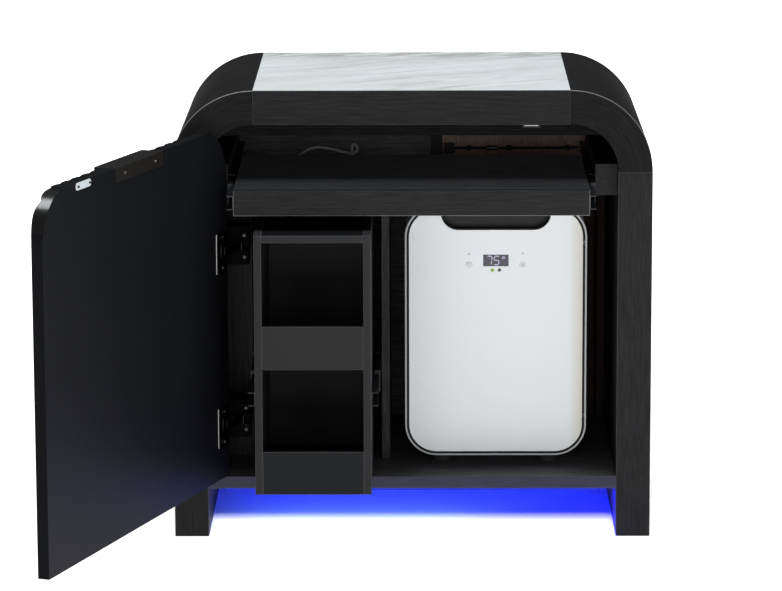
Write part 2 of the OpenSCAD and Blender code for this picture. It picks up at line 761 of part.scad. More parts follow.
// A tube swept along points, its rings square to the route
tube_sides = 10;
function unit(v) = v / norm(v);
function way(p, i) = unit(i == 0 ? p[1] - p[0] : i == len(p) - 1 ? p[i] - p[i - 1]
    : unit(p[i + 1] - p[i]) + unit(p[i] - p[i - 1]));
function side_of(d) = unit(abs(d[0]) < 0.8 ? cross(d, [1, 0, 0]) : cross(d, [0, 1, 0]));
// carries one ring's side vector on to the next, so that the tube doesn't twist
function carried(d, s) = unit(s - (s * d) * d);
function sides(p, i) = i == 0 ? side_of(way(p, 0)) : carried(way(p, i), sides(p, i - 1));
module tube(p, r) {
    n = len(p);
    rings = [for (i = [0 : n - 1]) let (d = way(p, i), s = sides(p, i), t = cross(d, s))
        for (k = [0 : tube_sides - 1]) let (a = 360 * k / tube_sides) p[i] + r * (cos(a) * s + sin(a) * t)];
    walls = [for (i = [0 : n - 2], k = [0 : tube_sides - 1]) let (m = (k + 1) % tube_sides)
        [i * tube_sides + k, (i + 1) * tube_sides + k, (i + 1) * tube_sides + m, i * tube_sides + m]];
    ends = [[for (k = [0 : tube_sides - 1]) k],
            [for (k = [0 : tube_sides - 1]) n * tube_sides - 1 - k]];
    polyhedron(rings, concat(walls, ends), 4);
}
module led_lead() color(black) {
    tube(lead_points_a, lead_d / 2);
    tube(lead_points_b, lead_d / 2);
}
module lead_connector() color(black) translate([connector_x - connector_l / 2, lead_y, lead_z])
    rotate([0, 90, 0]) cylinder(r = connector_r, h = connector_l);

// Saddle clips: under the bottom board, up the back panel and along it
clip_l = 6;
clip_r = lead_d / 2 + 1.6;
module cable_clips() color([0.1, 0.1, 0.1]) for (c = clip_spots) translate([c[0], c[1], c[2]]) {
    if (c[3] == 0) rotate([90, 0, 0]) clip(board_z - c[2]);
    if (c[3] == 1) clip(panel_y - c[1]);
    if (c[3] == 2) rotate([0, 90, 0]) clip(panel_y - c[1]);
}
// One clip about the lead, with its foot reaching to the face at distance reach
module clip(reach) difference() {
    union() {
        intersection() {
            cylinder(r = clip_r, h = clip_l, center = true);
            translate([-clip_r, -clip_r, -clip_l]) cube([2 * clip_r, clip_r + reach, 2 * clip_l]);
        }
        translate([-clip_r, 0, -clip_l / 2]) cube([2 * clip_r, reach, clip_l]);
    }
    cylinder(r = lead_d / 2 + pin_fit, h = clip_l + 2, center = true);
}

module power_inlet() color(black) difference() {
    union() {
        block([inlet_x - inlet_w / 2, panel_y - inlet_d, lead_z - inlet_w / 2],
              [inlet_x + inlet_w / 2, panel_y, lead_z + inlet_w / 2]);
        along_y(inlet_x, lead_z, inlet_neck_r, panel_y - 0.01, panel_y + back_t + 1.5);
    }
    along_y(inlet_x, lead_z, inlet_bore_r, panel_y - 1, panel_y + back_t + 3);
}

// ---- refrigerator body ----

module fridge_rect(inset) translate([fridge_x, fridge_cz])
    round_rect(fridge_w - 2 * inset, fridge_h - 2 * inset, fridge_r - inset);
// Inner outlines have a smaller corner of their own
module tub_rect(inset) translate([fridge_x, fridge_cz])
    round_rect(fridge_w - 2 * inset, fridge_h - 2 * inset, tub_r);

module fridge_shell() color([0.83, 0.84, 0.85]) difference() {
    union() {
        difference() {
            in_depth(shell_y, shell_back) fridge_rect(0);
            in_depth(shell_y + shell_t, shell_back - shell_t) fridge_rect(shell_t);
            in_depth(shell_y - 1, shell_y + shell_t + 1) tub_rect(tub_in - 0.1);
            in_depth(shell_back - shell_t - 1, shell_back + 1)
                translate([fridge_x, sink_z]) square(grille_w - 2 * grille_seat, center = true);
        }
        for (z = ear_zs) {
            block([fpin[0] - ear_w / 2, fpin[1], z], [fpin[0] + ear_w / 2, shell_y + 0.5, z + ear_t]);
            translate([fpin[0], fpin[1], z]) cylinder(r = ear_w / 2, h = ear_t);
        }
    }
    for (z = ear_zs) translate([fpin[0], fpin[1], z - 1]) cylinder(r = fpin_d / 2 + pin_fit, h = ear_t + 2);
}

shelf_z = fridge_z + shelf_up;
module fridge_tub() color(white) {
    difference() {
        in_depth(shell_y - tub_flange_t, tub_back) tub_rect(tub_in);
        in_depth(shell_y - tub_flange_t - 1, tub_back - tub_t) tub_rect(tub_in + tub_t);
    }
    in_depth(shell_y - tub_flange_t, shell_y) difference() {
        tub_rect(flange_out);
        tub_rect(tub_in + tub_t);
    }
    for (side = [-1, 1]) {
        x = fridge_x + side * (fridge_w / 2 - tub_in - tub_t);
        x0 = min(x + side * tub_t / 2, x - side * rib);
        block([x0, shell_y + shelf_set, shelf_z - rib], [x0 + rib + tub_t / 2, tub_back - shelf_set, shelf_z]);
    }
}

module fridge_shelf() color([0.8, 0.85, 0.88]) difference() {
    half = fridge_w / 2 - tub_in - tub_t - shelf_gap;
    slots = floor((half - shelf_rim) / shelf_pitch);
    block([fridge_x - half, shell_y + shelf_set, shelf_z], [fridge_x + half, tub_back - shelf_set, shelf_z + shelf_t]);
    for (i = [-slots : slots])
        block([fridge_x + i * shelf_pitch - shelf_slot / 2, shell_y + shelf_set + shelf_rim, shelf_z - 1],
              [fridge_x + i * shelf_pitch + shelf_slot / 2, tub_back - shelf_set - shelf_rim, shelf_z + shelf_t + 1]);
}

foot_ys = [shell_y + foot_front_set + foot_d / 2, shell_back - foot_back_set - foot_d / 2];
module fridge_feet() color([0.15, 0.15, 0.15]) for (x = [-foot_x, foot_x], y = foot_ys)
    translate([fridge_x + x, y, floor_z]) cylinder(r = foot_d / 2, h = foot_h);

module heat_sink() color(steel) {
    block([fridge_x - sink_w / 2, tub_back, sink_z - sink_w / 2],
          [fridge_x + sink_w / 2, tub_back + sink_base_t, sink_z + sink_w / 2]);
    for (i = [0 : fin_count - 1]) {
        x = fridge_x - sink_w / 2 + i * (sink_w - fin_t) / (fin_count - 1);
        block([x, tub_back + sink_base_t, sink_z - sink_w / 2], [x + fin_t, tub_back + sink_base_t + fin_h, sink_z + sink_w / 2]);
    }
}

grille_slots = floor((grille_w / 2 - grille_rim - grille_slot / 2) / grille_pitch);
module rear_grille() color([0.2, 0.2, 0.21]) {
    difference() {
        block([fridge_x - grille_w / 2, shell_back, sink_z - grille_w / 2],
              [fridge_x + grille_w / 2, shell_back + grille_t, sink_z + grille_w / 2]);
        for (i = [-grille_slots : grille_slots]) if (i != 0)
            block([fridge_x - grille_w / 2 + grille_rim, shell_back - 1, sink_z + i * grille_pitch - grille_slot / 2],
                  [fridge_x + grille_w / 2 - grille_rim, shell_back + grille_t + 1, sink_z + i * grille_pitch + grille_slot / 2]);
    }
    along_y(fridge_x, sink_z, motor_r, fan_y + fan_t + fit, shell_back);
    along_y(fridge_x, sink_z, fan_pin_r, fan_y + 2, shell_back);
}

module fan_rotor() color([0.1, 0.1, 0.1]) difference() {
    union() {
        along_y(fridge_x, sink_z, fan_hub_r, fan_y, fan_y + fan_t);
        for (i = [0 : fan_blades - 1]) translate([fridge_x, fan_y + fan_t / 2, sink_z])
            rotate([0, i * 360 / fan_blades, 0]) translate([fan_hub_r - 1, 0, 0]) rotate([35, 0, 0])
                translate([0, -blade_t / 2, -blade_w / 2]) cube([fan_r - fan_hub_r + 1, blade_t, blade_w]);
    }
    along_y(fridge_x, sink_z, fan_pin_r + pin_fit, fan_y - 1, fan_y + fan_t + 1);
}

// ---- refrigerator door ----

key_xs = [fridge_x - key_x, fridge_x + key_x];
led_xs = [fridge_x - 5.2, fridge_x + 5.2];
led_lens_r = 2.6;
status_drop = 14.5;

module pocket_shape(grow) {
    w = pocket_w + 2 * grow;
    h = pocket_h + grow;
    r = pocket_r + grow;
    translate([fridge_x - w / 2, pocket_z - grow + r]) square([w, h - r]);
    translate([fridge_x - w / 2 + r, pocket_z - grow]) square([w - 2 * r, r]);
    for (s = [-1, 1]) translate([fridge_x + s * (w / 2 - r), pocket_z - grow + r]) circle(r);
}
pocket_wall = 1.5;

module fridge_door_frame() color([0.62, 0.64, 0.66]) difference() {
    in_depth(fridge_front, fridge_front + fdoor_t) fridge_rect(0);
    in_depth(fridge_front - 1, panel_back) fridge_rect(rim_t);
    in_depth(fridge_front, panel_back + board_gap) fridge_rect(rim_t + 9);
    in_depth(fridge_front, fridge_front + pocket_d + pocket_wall) pocket_shape(pocket_wall);
    for (z = ear_zs) block([fpin[0] - ear_w / 2 - 1, panel_back, z - 1],
                           [fridge_x + fridge_w, fridge_front + fdoor_t + 1, z + ear_t + 1]);
    for (z = ear_zs) translate([fpin[0], fpin[1], z + ear_t / 2 - fpin_l / 2])
        cylinder(r = fpin_d / 2 + pin_fit, h = fpin_l);
}

module fridge_door_panel() color(white) difference() {
    in_depth(fridge_front, panel_back) fridge_rect(rim_t + rim_gap);
    in_depth(fridge_front - 1, panel_back + 1) pocket_shape(pocket_wall);
    block([fridge_x - display_w / 2 - 0.2, fridge_front - 1, display_cz - display_h / 2 - 0.2],
          [fridge_x + display_w / 2 + 0.2, panel_back + 1, display_cz + display_h / 2 + 0.2]);
    for (x = key_xs) along_y(x, key_z, key_d / 2 + fit, fridge_front - 1, panel_back + 1);
    for (x = led_xs) along_y(x, display_cz - status_drop, led_lens_r + 0.1, fridge_front - 1, panel_back + 1);
}

module handle_pocket() color(black) difference() {
    in_depth(fridge_front + 0.5, fridge_front + pocket_d + pocket_wall) intersection() {
        pocket_shape(pocket_wall);
        fridge_rect(rim_t + rim_gap);
    }
    in_depth(fridge_front - 1, fridge_front + pocket_d) pocket_shape(0);
}

module fridge_door_liner() color(white) {
    inset = tub_in + tub_t + 2.5;
    in_depth(fridge_front + fdoor_t, fridge_front + fdoor_t + 10) difference() {
        tub_rect(inset);
        tub_rect(inset + 12);
    }
    in_depth(fridge_front + fdoor_t, fridge_front + fdoor_t + 2) tub_rect(inset + 12);
}

module door_seal() color([0.85, 0.85, 0.83])
    in_depth(fridge_front + fdoor_t, shell_y - tub_flange_t) difference() {
        tub_rect(flange_out + 2);
        tub_rect(tub_in + tub_t);
    }

module fridge_hinge_pins() color(steel) for (z = ear_zs)
    translate([fpin[0], fpin[1], z + ear_t / 2 - fpin_l / 2]) cylinder(r = fpin_d / 2, h = fpin_l);

module display_module() color(black) {
    block([fridge_x - display_w / 2, fridge_front + 0.2, display_cz - display_h / 2],
          [fridge_x + display_w / 2, panel_back + board_gap, display_cz + display_h / 2]);
    for (x = led_xs) along_y(x, display_cz - status_drop, led_lens_r, fridge_front - 0.3, panel_back + board_gap);
}

module key(x) color([0.88, 0.89, 0.9]) {
    along_y(x, key_z, key_d / 2, fridge_front - key_travel, panel_back + 0.5);
    along_y(x, key_z, key_flange_d / 2, panel_back + 0.05, panel_back + board_gap - key_travel - 0.1);
}
module left_key() key(key_xs[0]);
module right_key() key(key_xs[1]);

// ---- cabinet door, drawn closed and then swung open ----

module flute_profile() {
    translate([door_l, front_y + flute_depth]) square([door_w, door_t - flute_depth]);
    intersection() {
        translate([door_l, front_y]) square([door_w, flute_depth + 1]);
        for (i = [0 : flute_count - 1])
            translate([door_l + (i + 0.5) * flute_w, front_y + flute_r]) circle(flute_r, $fn = 96);
    }
}
door_screw_l = 11;
strike_z = door_top - 1 - strike_h / 2;
strike_screw_x = strike_w / 2 - 5;
pull_screw_x = pull_w / 2 - 27;
pull_screw_z = door_top - pull_plate_h / 2;
cup_screw_z = cup_screw_pitch / 2;

module door_holes(r, l) {
    for (z = hinge_zs, s = [-cup_screw_z, cup_screw_z]) along_y(cup_x, z + s, r, door_back - l, door_back + 5);
    for (s = [-1, 1]) {
        along_y(s * pull_screw_x, pull_screw_z, r, door_back - l, door_back + 5);
        along_y(catch_x + s * strike_screw_x, strike_z, r, door_back - l, door_back + 5);
    }
}

module door_panel() color([0.14, 0.145, 0.16]) door_place() difference() {
    intersection() {
        in_depth(front_y - 1, door_back) arch_inside(door_gap, door_z, door_corner_ease);
        translate([0, 0, door_z - 1]) linear_extrude(door_top - door_z + 2) flute_profile();
    }
    // rounding of the hinge edge
    translate([door_l - 1, front_y - 1, door_z - 1]) difference() {
        cube([door_edge_r + 1, door_edge_r + 1, door_top - door_z + 2]);
        translate([door_edge_r + 1, door_edge_r + 1, -1]) cylinder(r = door_edge_r, h = door_top - door_z + 4);
    }
    for (z = [groove_z, groove_z + groove_step]) translate([door_l - 1, front_y, z]) rotate([45, 0, 0])
        translate([0, -groove_depth * 0.7071, -groove_depth * 0.7071]) cube([door_w + 2, groove_depth * 1.4142, groove_depth * 1.4142]);
    for (z = hinge_zs) along_y(cup_x, z, cup_d / 2, door_back - cup_depth, door_back + 1);
    block([-pull_w / 2 - fit, front_y - 1, door_top - pull_t], [pull_w / 2 + fit, door_back + 1, door_top + 1]);
    door_holes(screw_d / 2 + pin_fit, door_screw_l + 1);
}

module edge_pull() color(black) door_place() difference() {
    union() {
        block([-pull_w / 2, front_y - pull_lip, door_top - pull_t], [pull_w / 2, door_back + pull_plate_t, door_top]);
        block([-pull_w / 2, door_back, pull_screw_z], [pull_w / 2, door_back + pull_plate_t, door_top]);
        in_depth(door_back, door_back + pull_plate_t) translate([0, pull_screw_z]) round_rect(pull_w, pull_plate_h, 4);
        block([-pull_w / 2, front_y - pull_lip, door_top - pull_drop], [pull_w / 2, front_y - pull_lip + pull_t, door_top]);
    }
    for (s = [-1, 1]) along_y(s * pull_screw_x, pull_screw_z, screw_d / 2 + pin_fit, door_back - 1, door_back + 5);
}

module strike_plate() color(steel) door_place() difference() {
    in_depth(door_back, door_back + flange_t) translate([catch_x, strike_z]) round_rect(strike_w, strike_h, strike_h / 2 - 0.5);
    for (s = [-1, 1]) along_y(catch_x + s * strike_screw_x, strike_z, screw_d / 2 + pin_fit, door_back - 1, door_back + 5);
}

// A screw into the door's inner face, its head at the back
module door_screw(x, z, plate) {
    along_y(x, z, head_d / 2 - 0.5, door_back + plate, door_back + plate + head_h);
    along_y(x, z, screw_d / 2, door_back - door_screw_l, door_back + plate + 0.5);
}
module door_screws() color(steel) door_place() {
    for (z = hinge_zs, s = [-cup_screw_z, cup_screw_z]) door_screw(cup_x, z + s, flange_t);
    for (s = [-1, 1]) {
        door_screw(s * pull_screw_x, pull_screw_z, pull_plate_t);
        door_screw(catch_x + s * strike_screw_x, strike_z, flange_t);
    }
}

module hinge_cup(z) difference() {
    union() {
        along_y(cup_x, z, cup_d / 2, door_back - cup_depth, door_back);
        in_depth(door_back, door_back + flange_t) translate([cup_x, z]) round_rect(flange_w, flange_h, 3);
    }
    along_y(cup_x, z, cup_d / 2 - cup_wall, door_back - cup_depth + 0.8, door_back + flange_t + 1);
    for (s = [-cup_screw_z, cup_screw_z]) along_y(cup_x, z + s, screw_d / 2 + pin_fit, door_back - 1, door_back + 5);
}
// The pins cross the cups along the door's edge and end in their walls
pin_half = sqrt(pow(cup_d / 2, 2) - pow(cup_x - cup_pin[0] + hinge_pin_d / 2, 2)) - 0.2;
module hinge_cups() color(steel) door_place() for (z = hinge_zs) {
    hinge_cup(z);
    translate([cup_pin[0], cup_pin[1], z - pin_half]) cylinder(r = hinge_pin_d / 2, h = 2 * pin_half);
}

// ---- tray ----

module tray_board() color(wood)
    block([-tray_w / 2, tray_front + tray_front_t, tray_z + tray_h - tray_board_t], [tray_w / 2, tray_back, tray_z + tray_h]);
module tray_front_board() color(wood)
    block([-tray_w / 2, tray_front, tray_z], [tray_w / 2, tray_front + tray_front_t, tray_z + tray_h]);
module tray_frame() color(wood) {
    z1 = tray_z + tray_h - tray_board_t;
    for (side = [0, 1]) mirror([side, 0, 0])
        block([tray_w / 2 - tray_side_t, tray_front + tray_front_t, tray_z], [tray_w / 2, tray_back, z1]);
    block([-tray_w / 2 + tray_side_t, tray_back - tray_side_t, tray_z], [tray_w / 2 - tray_side_t, tray_back, z1]);
}

// ---- rack ----

rack_il = rack_l + rack_side_t;
rack_ir = rack_r - rack_side_t;
module rack_sides() color([0.2, 0.2, 0.21]) {
    block([rack_l, rack_front, rack_z], [rack_il, rack_back, rack_z + rack_h]);
    block([rack_ir, rack_front, rack_z], [rack_r, rack_back, rack_z + rack_h]);
}
module rack_boards() color([0.18, 0.18, 0.19]) {
    y1 = rack_back - rack_back_t;
    block([rack_il, rack_front, rack_z + rack_h - rack_t], [rack_ir, y1, rack_z + rack_h]);
    for (z = [rack_z, rack_z + rack_shelf_z]) block([rack_il, rack_front + rack_t, z], [rack_ir, y1, z + rack_t]);
    block([rack_il, y1, rack_z], [rack_ir, rack_back, rack_z + rack_h]);
}
module rack_front_rails() color([0.2, 0.2, 0.21]) for (z = [rack_z, rack_z + rack_shelf_z])
    block([rack_il, rack_front, z], [rack_ir, rack_front + rack_t, z + rack_rail_h]);

left_leg();
right_leg();
left_corner();
right_corner();
front_apron();
back_apron();
top_core();
stone_top();
sub_top_board();
bottom_board();
left_back_panel();
right_back_panel();
back_joint_strip();
divider();
left_filler();
tray_battens();
hinge_blocks();
hinge_arms();
cabinet_screws();
magnet_catch();
tray_outer_rails();
rack_outer_rails();
led_channel();
led_strip();
led_lead();
lead_connector();
cable_clips();
power_inlet();
fridge_shell();
fridge_tub();
fridge_shelf();
fridge_feet();
heat_sink();
rear_grille();
fan_rotor();
door_panel();
edge_pull();
strike_plate();
door_screws();
hinge_cups();
hinge_links();
tray_mid_rails();
tray_board();
tray_front_board();
tray_frame();
tray_inner_rails();
rack_mid_rails();
rack_sides();
rack_boards();
rack_front_rails();
rack_inner_rails();
fridge_door_frame();
fridge_door_panel();
fridge_door_liner();
door_seal();
handle_pocket();
fridge_hinge_pins();
display_module();
left_key();
right_key();
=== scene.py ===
# Bedside cabinet with a small refrigerator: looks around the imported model
import json
import math

import bmesh
import bpy
from mathutils import Matrix, Vector

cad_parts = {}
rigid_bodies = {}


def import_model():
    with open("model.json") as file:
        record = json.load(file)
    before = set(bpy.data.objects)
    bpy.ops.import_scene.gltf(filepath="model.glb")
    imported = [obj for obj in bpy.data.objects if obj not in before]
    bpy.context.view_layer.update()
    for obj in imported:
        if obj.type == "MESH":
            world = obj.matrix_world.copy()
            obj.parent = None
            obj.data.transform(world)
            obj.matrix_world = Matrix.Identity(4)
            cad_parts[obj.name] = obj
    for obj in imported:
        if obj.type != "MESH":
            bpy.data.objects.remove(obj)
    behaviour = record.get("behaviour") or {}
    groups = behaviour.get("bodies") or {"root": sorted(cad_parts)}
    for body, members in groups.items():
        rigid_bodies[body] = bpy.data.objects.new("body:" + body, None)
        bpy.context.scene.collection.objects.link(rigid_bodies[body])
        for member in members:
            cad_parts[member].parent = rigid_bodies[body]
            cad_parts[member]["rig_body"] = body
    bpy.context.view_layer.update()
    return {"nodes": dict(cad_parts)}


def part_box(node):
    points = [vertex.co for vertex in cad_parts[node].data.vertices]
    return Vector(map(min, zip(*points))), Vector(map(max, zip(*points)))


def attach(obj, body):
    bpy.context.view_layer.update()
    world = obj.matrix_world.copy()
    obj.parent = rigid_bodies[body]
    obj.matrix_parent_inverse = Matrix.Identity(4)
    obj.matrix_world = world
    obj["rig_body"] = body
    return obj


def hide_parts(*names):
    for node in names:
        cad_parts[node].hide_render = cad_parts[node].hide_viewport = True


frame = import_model()
scene = bpy.context.scene
scene.view_settings.view_transform = "Standard"
print("frame loaded")


cameraView = {
    "place": (0.0145, -5.4852, 1.4622),
    "turn": -0.482,      # degrees to the right
    "tip": 10.538,       # degrees down
    "roll": -0.172,
    "lens": 170.33,      # on a 36 mm sensor
    "sensor": 36,
    "shift": -0.1,
    "farEnd": 60,
}


def makeCamera():
    data = bpy.data.cameras.new("camera")
    data.sensor_fit = "HORIZONTAL"
    data.sensor_width = cameraView["sensor"]
    data.lens = cameraView["lens"]
    data.shift_y = cameraView["shift"]
    data.clip_end = cameraView["farEnd"]
    turn, tip, roll = (math.radians(cameraView[k]) for k in ("turn", "tip", "roll"))
    ahead = Vector((math.sin(turn) * math.cos(tip), math.cos(turn) * math.cos(tip), -math.sin(tip)))
    right = Vector((math.cos(turn), -math.sin(turn), 0))
    up = right.cross(ahead)
    rolledRight = math.cos(roll) * right + math.sin(roll) * up
    rolledUp = math.cos(roll) * up - math.sin(roll) * right
    camera = bpy.data.objects.new("camera", data)
    rows = zip(rolledRight, rolledUp, -ahead, cameraView["place"])
    camera.matrix_world = Matrix((*rows, (0, 0, 0, 1)))
    scene.collection.objects.link(camera)
    scene.camera = camera


lamps = {
    # a lamp with a "lights" word reaches only the floor, the cabinet or the tray's top
    "leftSoftbox": {"place": (-2.1, -4.3, 0.9), "aim": (0, 0, 0.35), "size": (1.1, 1.5),
                    "power": 17, "lights": "object"},
    "rightSoftbox": {"place": (2.1, -4.3, 0.9), "aim": (0, 0, 0.35), "size": (1.1, 1.5),
                     "power": 27, "lights": "object"},
    "frontSoftbox": {"place": (0.1, -5.4, 1.15), "aim": (0, 0, 0.35), "size": (1.4, 1.0),
                     "power": 20, "lights": "object"},
    "topSoftbox": {"place": (-0.25, -0.36, 2.9), "aim": (-0.25, -0.36, 0.4), "size": (3.2, 1.0),
                   "power": 92, "colour": (0.95, 0.98, 1), "lights": "object"},
    "trayLight": {"place": (0.0, -3.5, 0.95), "aim": (0, -0.1, 0.5), "size": (1.2, 0.3),
                  "power": 240, "lights": "tray"},
    "floorLight": {"place": (0.0, -6.27, 4.14), "aim": (0, -0.1, 0), "size": (1.6, 1.5),
                   "power": 1160, "lights": "floor"},
    "farFloorLight": {"place": (0.0, 3.6, 3.4), "aim": (0, 4.2, 0), "size": (6, 3),
                      "power": 400, "lights": "floor"},
    "stripLight": {"place": (-0.06, -0.172, 0.064), "aim": (-0.06, -0.05, 0), "size": (0.42, 0.008),
                   "power": 0.32, "colour": (0.045, 0.110, 1)},
    "stripWash": {"place": (-0.08, -0.135, 0.045), "aim": (-0.08, -0.09, 0), "size": (0.34, 0.008),
                  "power": 0.05, "colour": (0.45, 0.9, 1)},
    "stripSpill": {"place": (0.0, 0.02, 0.070), "aim": (0, 0.02, 0), "size": (0.57, 0.16),
                   "power": 0.36, "colour": (0.002, 0.018, 1)},
    "stripEnd": {"place": (0.262, -0.165, 0.062), "aim": (0.3, -0.12, 0.02), "size": (0.02, 0.02),
                 "power": 0.80, "colour": (0.002, 0.002, 1)},
}
room = {
    "strength": 0.14,
    "colour": (1, 1, 1),
}
reached = {word: bpy.data.collections.new(word + "Only") for word in ("floor", "object", "tray")}
floorShade = bpy.data.collections.new("floorShade")    # what shades the floor from its own lamps


def makeLamps():
    for name, lamp in lamps.items():
        data = bpy.data.lights.new(name, "AREA")
        data.shape = "RECTANGLE"
        data.size, data.size_y = lamp["size"]
        data.energy = lamp["power"]
        data.color = lamp.get("colour", (1, 1, 1))
        lampObject = bpy.data.objects.new(name, data)
        lampObject.location = lamp["place"]
        aim = Vector(lamp["aim"]) - Vector(lamp["place"])
        lampObject.rotation_euler = aim.to_track_quat("-Z", "Y").to_euler()
        scene.collection.objects.link(lampObject)
        if "lights" in lamp:
            linking = lampObject.light_linking
            linking.receiver_collection = reached[lamp["lights"]]
            if lamp["lights"] == "floor":
                linking.blocker_collection = floorShade
    world = bpy.data.worlds.new("paleRoom")
    world.use_nodes = True
    background = world.node_tree.nodes["Background"]
    background.inputs["Color"].default_value = (*room["colour"], 1)
    background.inputs["Strength"].default_value = room["strength"]
    scene.world = world


class NodeMaker:
    # short calls that build a tree of nodes, a material's or a shape's
    def node(self, kind, values=None, **settings):
        node = self.tree.nodes.new(kind)
        for key, value in settings.items():
            setattr(node, key, value)
        for key, value in (values or {}).items():
            self.feed(node.inputs[key], value)
        return node

    def feed(self, socket, value):
        if isinstance(value, bpy.types.Node):
            value = value.outputs[0]
        if isinstance(value, bpy.types.NodeSocket):
            self.tree.links.new(value, socket)
        else:
            socket.default_value = (*value, 1) if socket.type == "RGBA" else value


class FinishMaker(NodeMaker):
    def __init__(self, name, colour, rough, metal=0.0, specular=0.5):
        self.material = bpy.data.materials.new(name)
        self.material.use_nodes = True
        self.tree = self.material.node_tree
        self.shader = self.tree.nodes["Principled BSDF"]
        self.set("Base Color", colour)
        self.set("Roughness", rough)
        self.set("Metallic", metal)
        self.set("Specular IOR Level", specular)

    def set(self, key, value):
        self.feed(self.shader.inputs[key], value)

    def place(self, scale=(1, 1, 1), turn=(0, 0, 0), source="Object"):
        where = self.node("ShaderNodeTexCoord").outputs[source]
        return self.node("ShaderNodeMapping", {"Vector": where, "Scale": scale, "Rotation": turn}).outputs[0]

    def along(self, axis):
        return self.node("ShaderNodeSeparateXYZ", {"Vector": self.place()}).outputs[axis]

    def noise(self, vector, scale, detail=4.0, rough=0.55, distort=0.0):
        return self.node("ShaderNodeTexNoise", {"Vector": vector, "Scale": scale, "Detail": detail,
                                                "Roughness": rough, "Distortion": distort}).outputs["Fac"]

    def ranged(self, value, low, high, least=0.0):
        return self.node("ShaderNodeMapRange", {"Value": value, "From Min": low, "From Max": high,
                                                "To Min": least}).outputs["Result"]

    def ramp(self, factor, *stops):
        # each stop is a place and a colour, or a place and one grey value
        node = self.node("ShaderNodeValToRGB", {"Fac": factor})
        elements = node.color_ramp.elements
        while len(elements) < len(stops):
            elements.new(0.5)
        for element, (place, colour) in zip(elements, stops):
            element.position = place
            element.color = (*(colour if isinstance(colour, tuple) else (colour,) * 3), 1)
        return node.outputs["Color"]

    def mix(self, a, b, factor=1.0, blend="MIX"):
        # the colour sockets of a Mix node come after its number and vector sockets
        node = self.node("ShaderNodeMix", {0: factor, 6: a, 7: b}, data_type="RGBA", blend_type=blend)
        return node.outputs[2]

    def multiplied(self, colour, *layers):
        for layer in layers:
            colour = self.mix(colour, layer, blend="MULTIPLY")
        return colour

    def bump(self, height, strength, depth):
        self.set("Normal", self.node("ShaderNodeBump", {"Strength": strength, "Distance": depth,
                                                        "Height": height}))


def scaled(colour, share):
    return tuple(min(1, c * share) for c in colour)


def stretched(grain, share):
    return tuple(share if axis == grain else 1.0 for axis in "XYZ")


veneer = {
    "dark": (0.0125, 0.0126, 0.0135),
    "middle": (0.0185, 0.0186, 0.0200),
    "light": (0.0300, 0.0300, 0.0315),
    "finePores": 900,          # across the grain, in one metre
    "longPores": 420,
    "bands": 60,
    "clouds": 9,
    "stretch": 0.045,          # along the grain
    "specular": 0.13,
    "poreDepth": 0.0003,
}


def makeVeneer(name, grain, shade, rough=0.5, source="Object", tint=(1, 1, 1), specular=veneer["specular"]):
    # open-pored black veneer, its grain along one axis
    look = FinishMaker(name, veneer["middle"], rough, 0.0, specular)
    grainPlace = look.place(stretched(grain, veneer["stretch"]), source=source)
    pores = look.noise(grainPlace, veneer["finePores"], 3.0, 0.65)
    longPores = look.noise(grainPlace, veneer["longPores"], 2.0, 0.5)
    bands = look.noise(grainPlace, veneer["bands"], 3.0, 0.55)
    clouds = look.noise(look.place(source=source), veneer["clouds"], 3.0)
    dark, middle, light = (tuple(c * shade * t for c, t in zip(veneer[tone], tint))
                           for tone in ("dark", "middle", "light"))
    look.set("Base Color", look.multiplied(
        look.ramp(pores, (0.3, dark), (0.5, middle), (0.72, light)),
        look.ramp(longPores, (0.34, 0.72), (0.5, 1.0), (0.68, 1.22)),
        look.ramp(bands, (0.25, 0.9), (0.75, 1.1)),
        look.ramp(clouds, (0.25, 0.93), (0.75, 1.07))))
    look.set("Roughness", look.ramp(longPores, (0.3, rough + 0.14), (0.7, rough - 0.03)))
    look.bump(longPores, 0.3, veneer["poreDepth"])
    return look


paint = {
    "patches": 6,              # in one metre
    "unevenness": 0.03,        # of the roughness
    "depth": 0.0002,
}


def makePaint(name, colour, rough, speckle=0.12, bump=0.05, specular=0.5, fineness=900):
    # smooth lacquer or moulded plastic with a faint unevenness
    look = FinishMaker(name, colour, rough, 0.0, specular)
    where = look.place()
    wide = look.noise(where, paint["patches"], 1.0, 0.4)
    fine = look.noise(where, fineness, 2.0)
    low, high = scaled(colour, 1 - speckle), scaled(colour, 1 + speckle)
    uneven = paint["unevenness"]
    look.set("Base Color", look.ramp(wide, (0.1, low), (0.9, high)))
    look.set("Roughness", look.ramp(fine, (0.2, rough + uneven), (0.8, rough - uneven)))
    look.bump(fine, bump, paint["depth"])
    return look


metal = {
    "lines": 1600,             # across the grain, in one metre
    "clouds": 60,
    "stretch": 0.02,           # along the grain
    "depth": 0.0001,
}


def makeMetal(name, colour, rough, grain="Z"):
    look = FinishMaker(name, colour, rough, 1.0)
    lines = look.noise(look.place(stretched(grain, metal["stretch"])), metal["lines"], 2.0)
    cloud = look.noise(look.place(), metal["clouds"], 3.0)
    look.set("Base Color", look.ramp(cloud, (0.3, scaled(colour, 0.75)), (0.65, colour)))
    look.set("Roughness", look.ramp(lines, (0.3, rough + 0.12), (0.7, rough - 0.08)))
    look.bump(lines, 0.12, metal["depth"])
    return look


stoneLook = {
    "ground": (0.68, 0.71, 0.72),
    "cloud": (0.58, 0.60, 0.60),
    "veinTurn": 27,            # degrees from the cabinet's width
    "vein": (0.34, 0.335, 0.305),
    "fineVein": (0.62, 0.61, 0.585),
    "layers": (
        # scale, stretch, half width, colour, patchiness
        (9.0, 0.16, 0.022, "vein", 6.0),
        (24.0, 0.14, 0.035, "fineVein", 9.0),
        (50.0, 0.10, 0.05, "fineVein", 14.0),
    ),
    "backVein": (0.10, 0.165),     # from where to where it gathers, along the depth
}


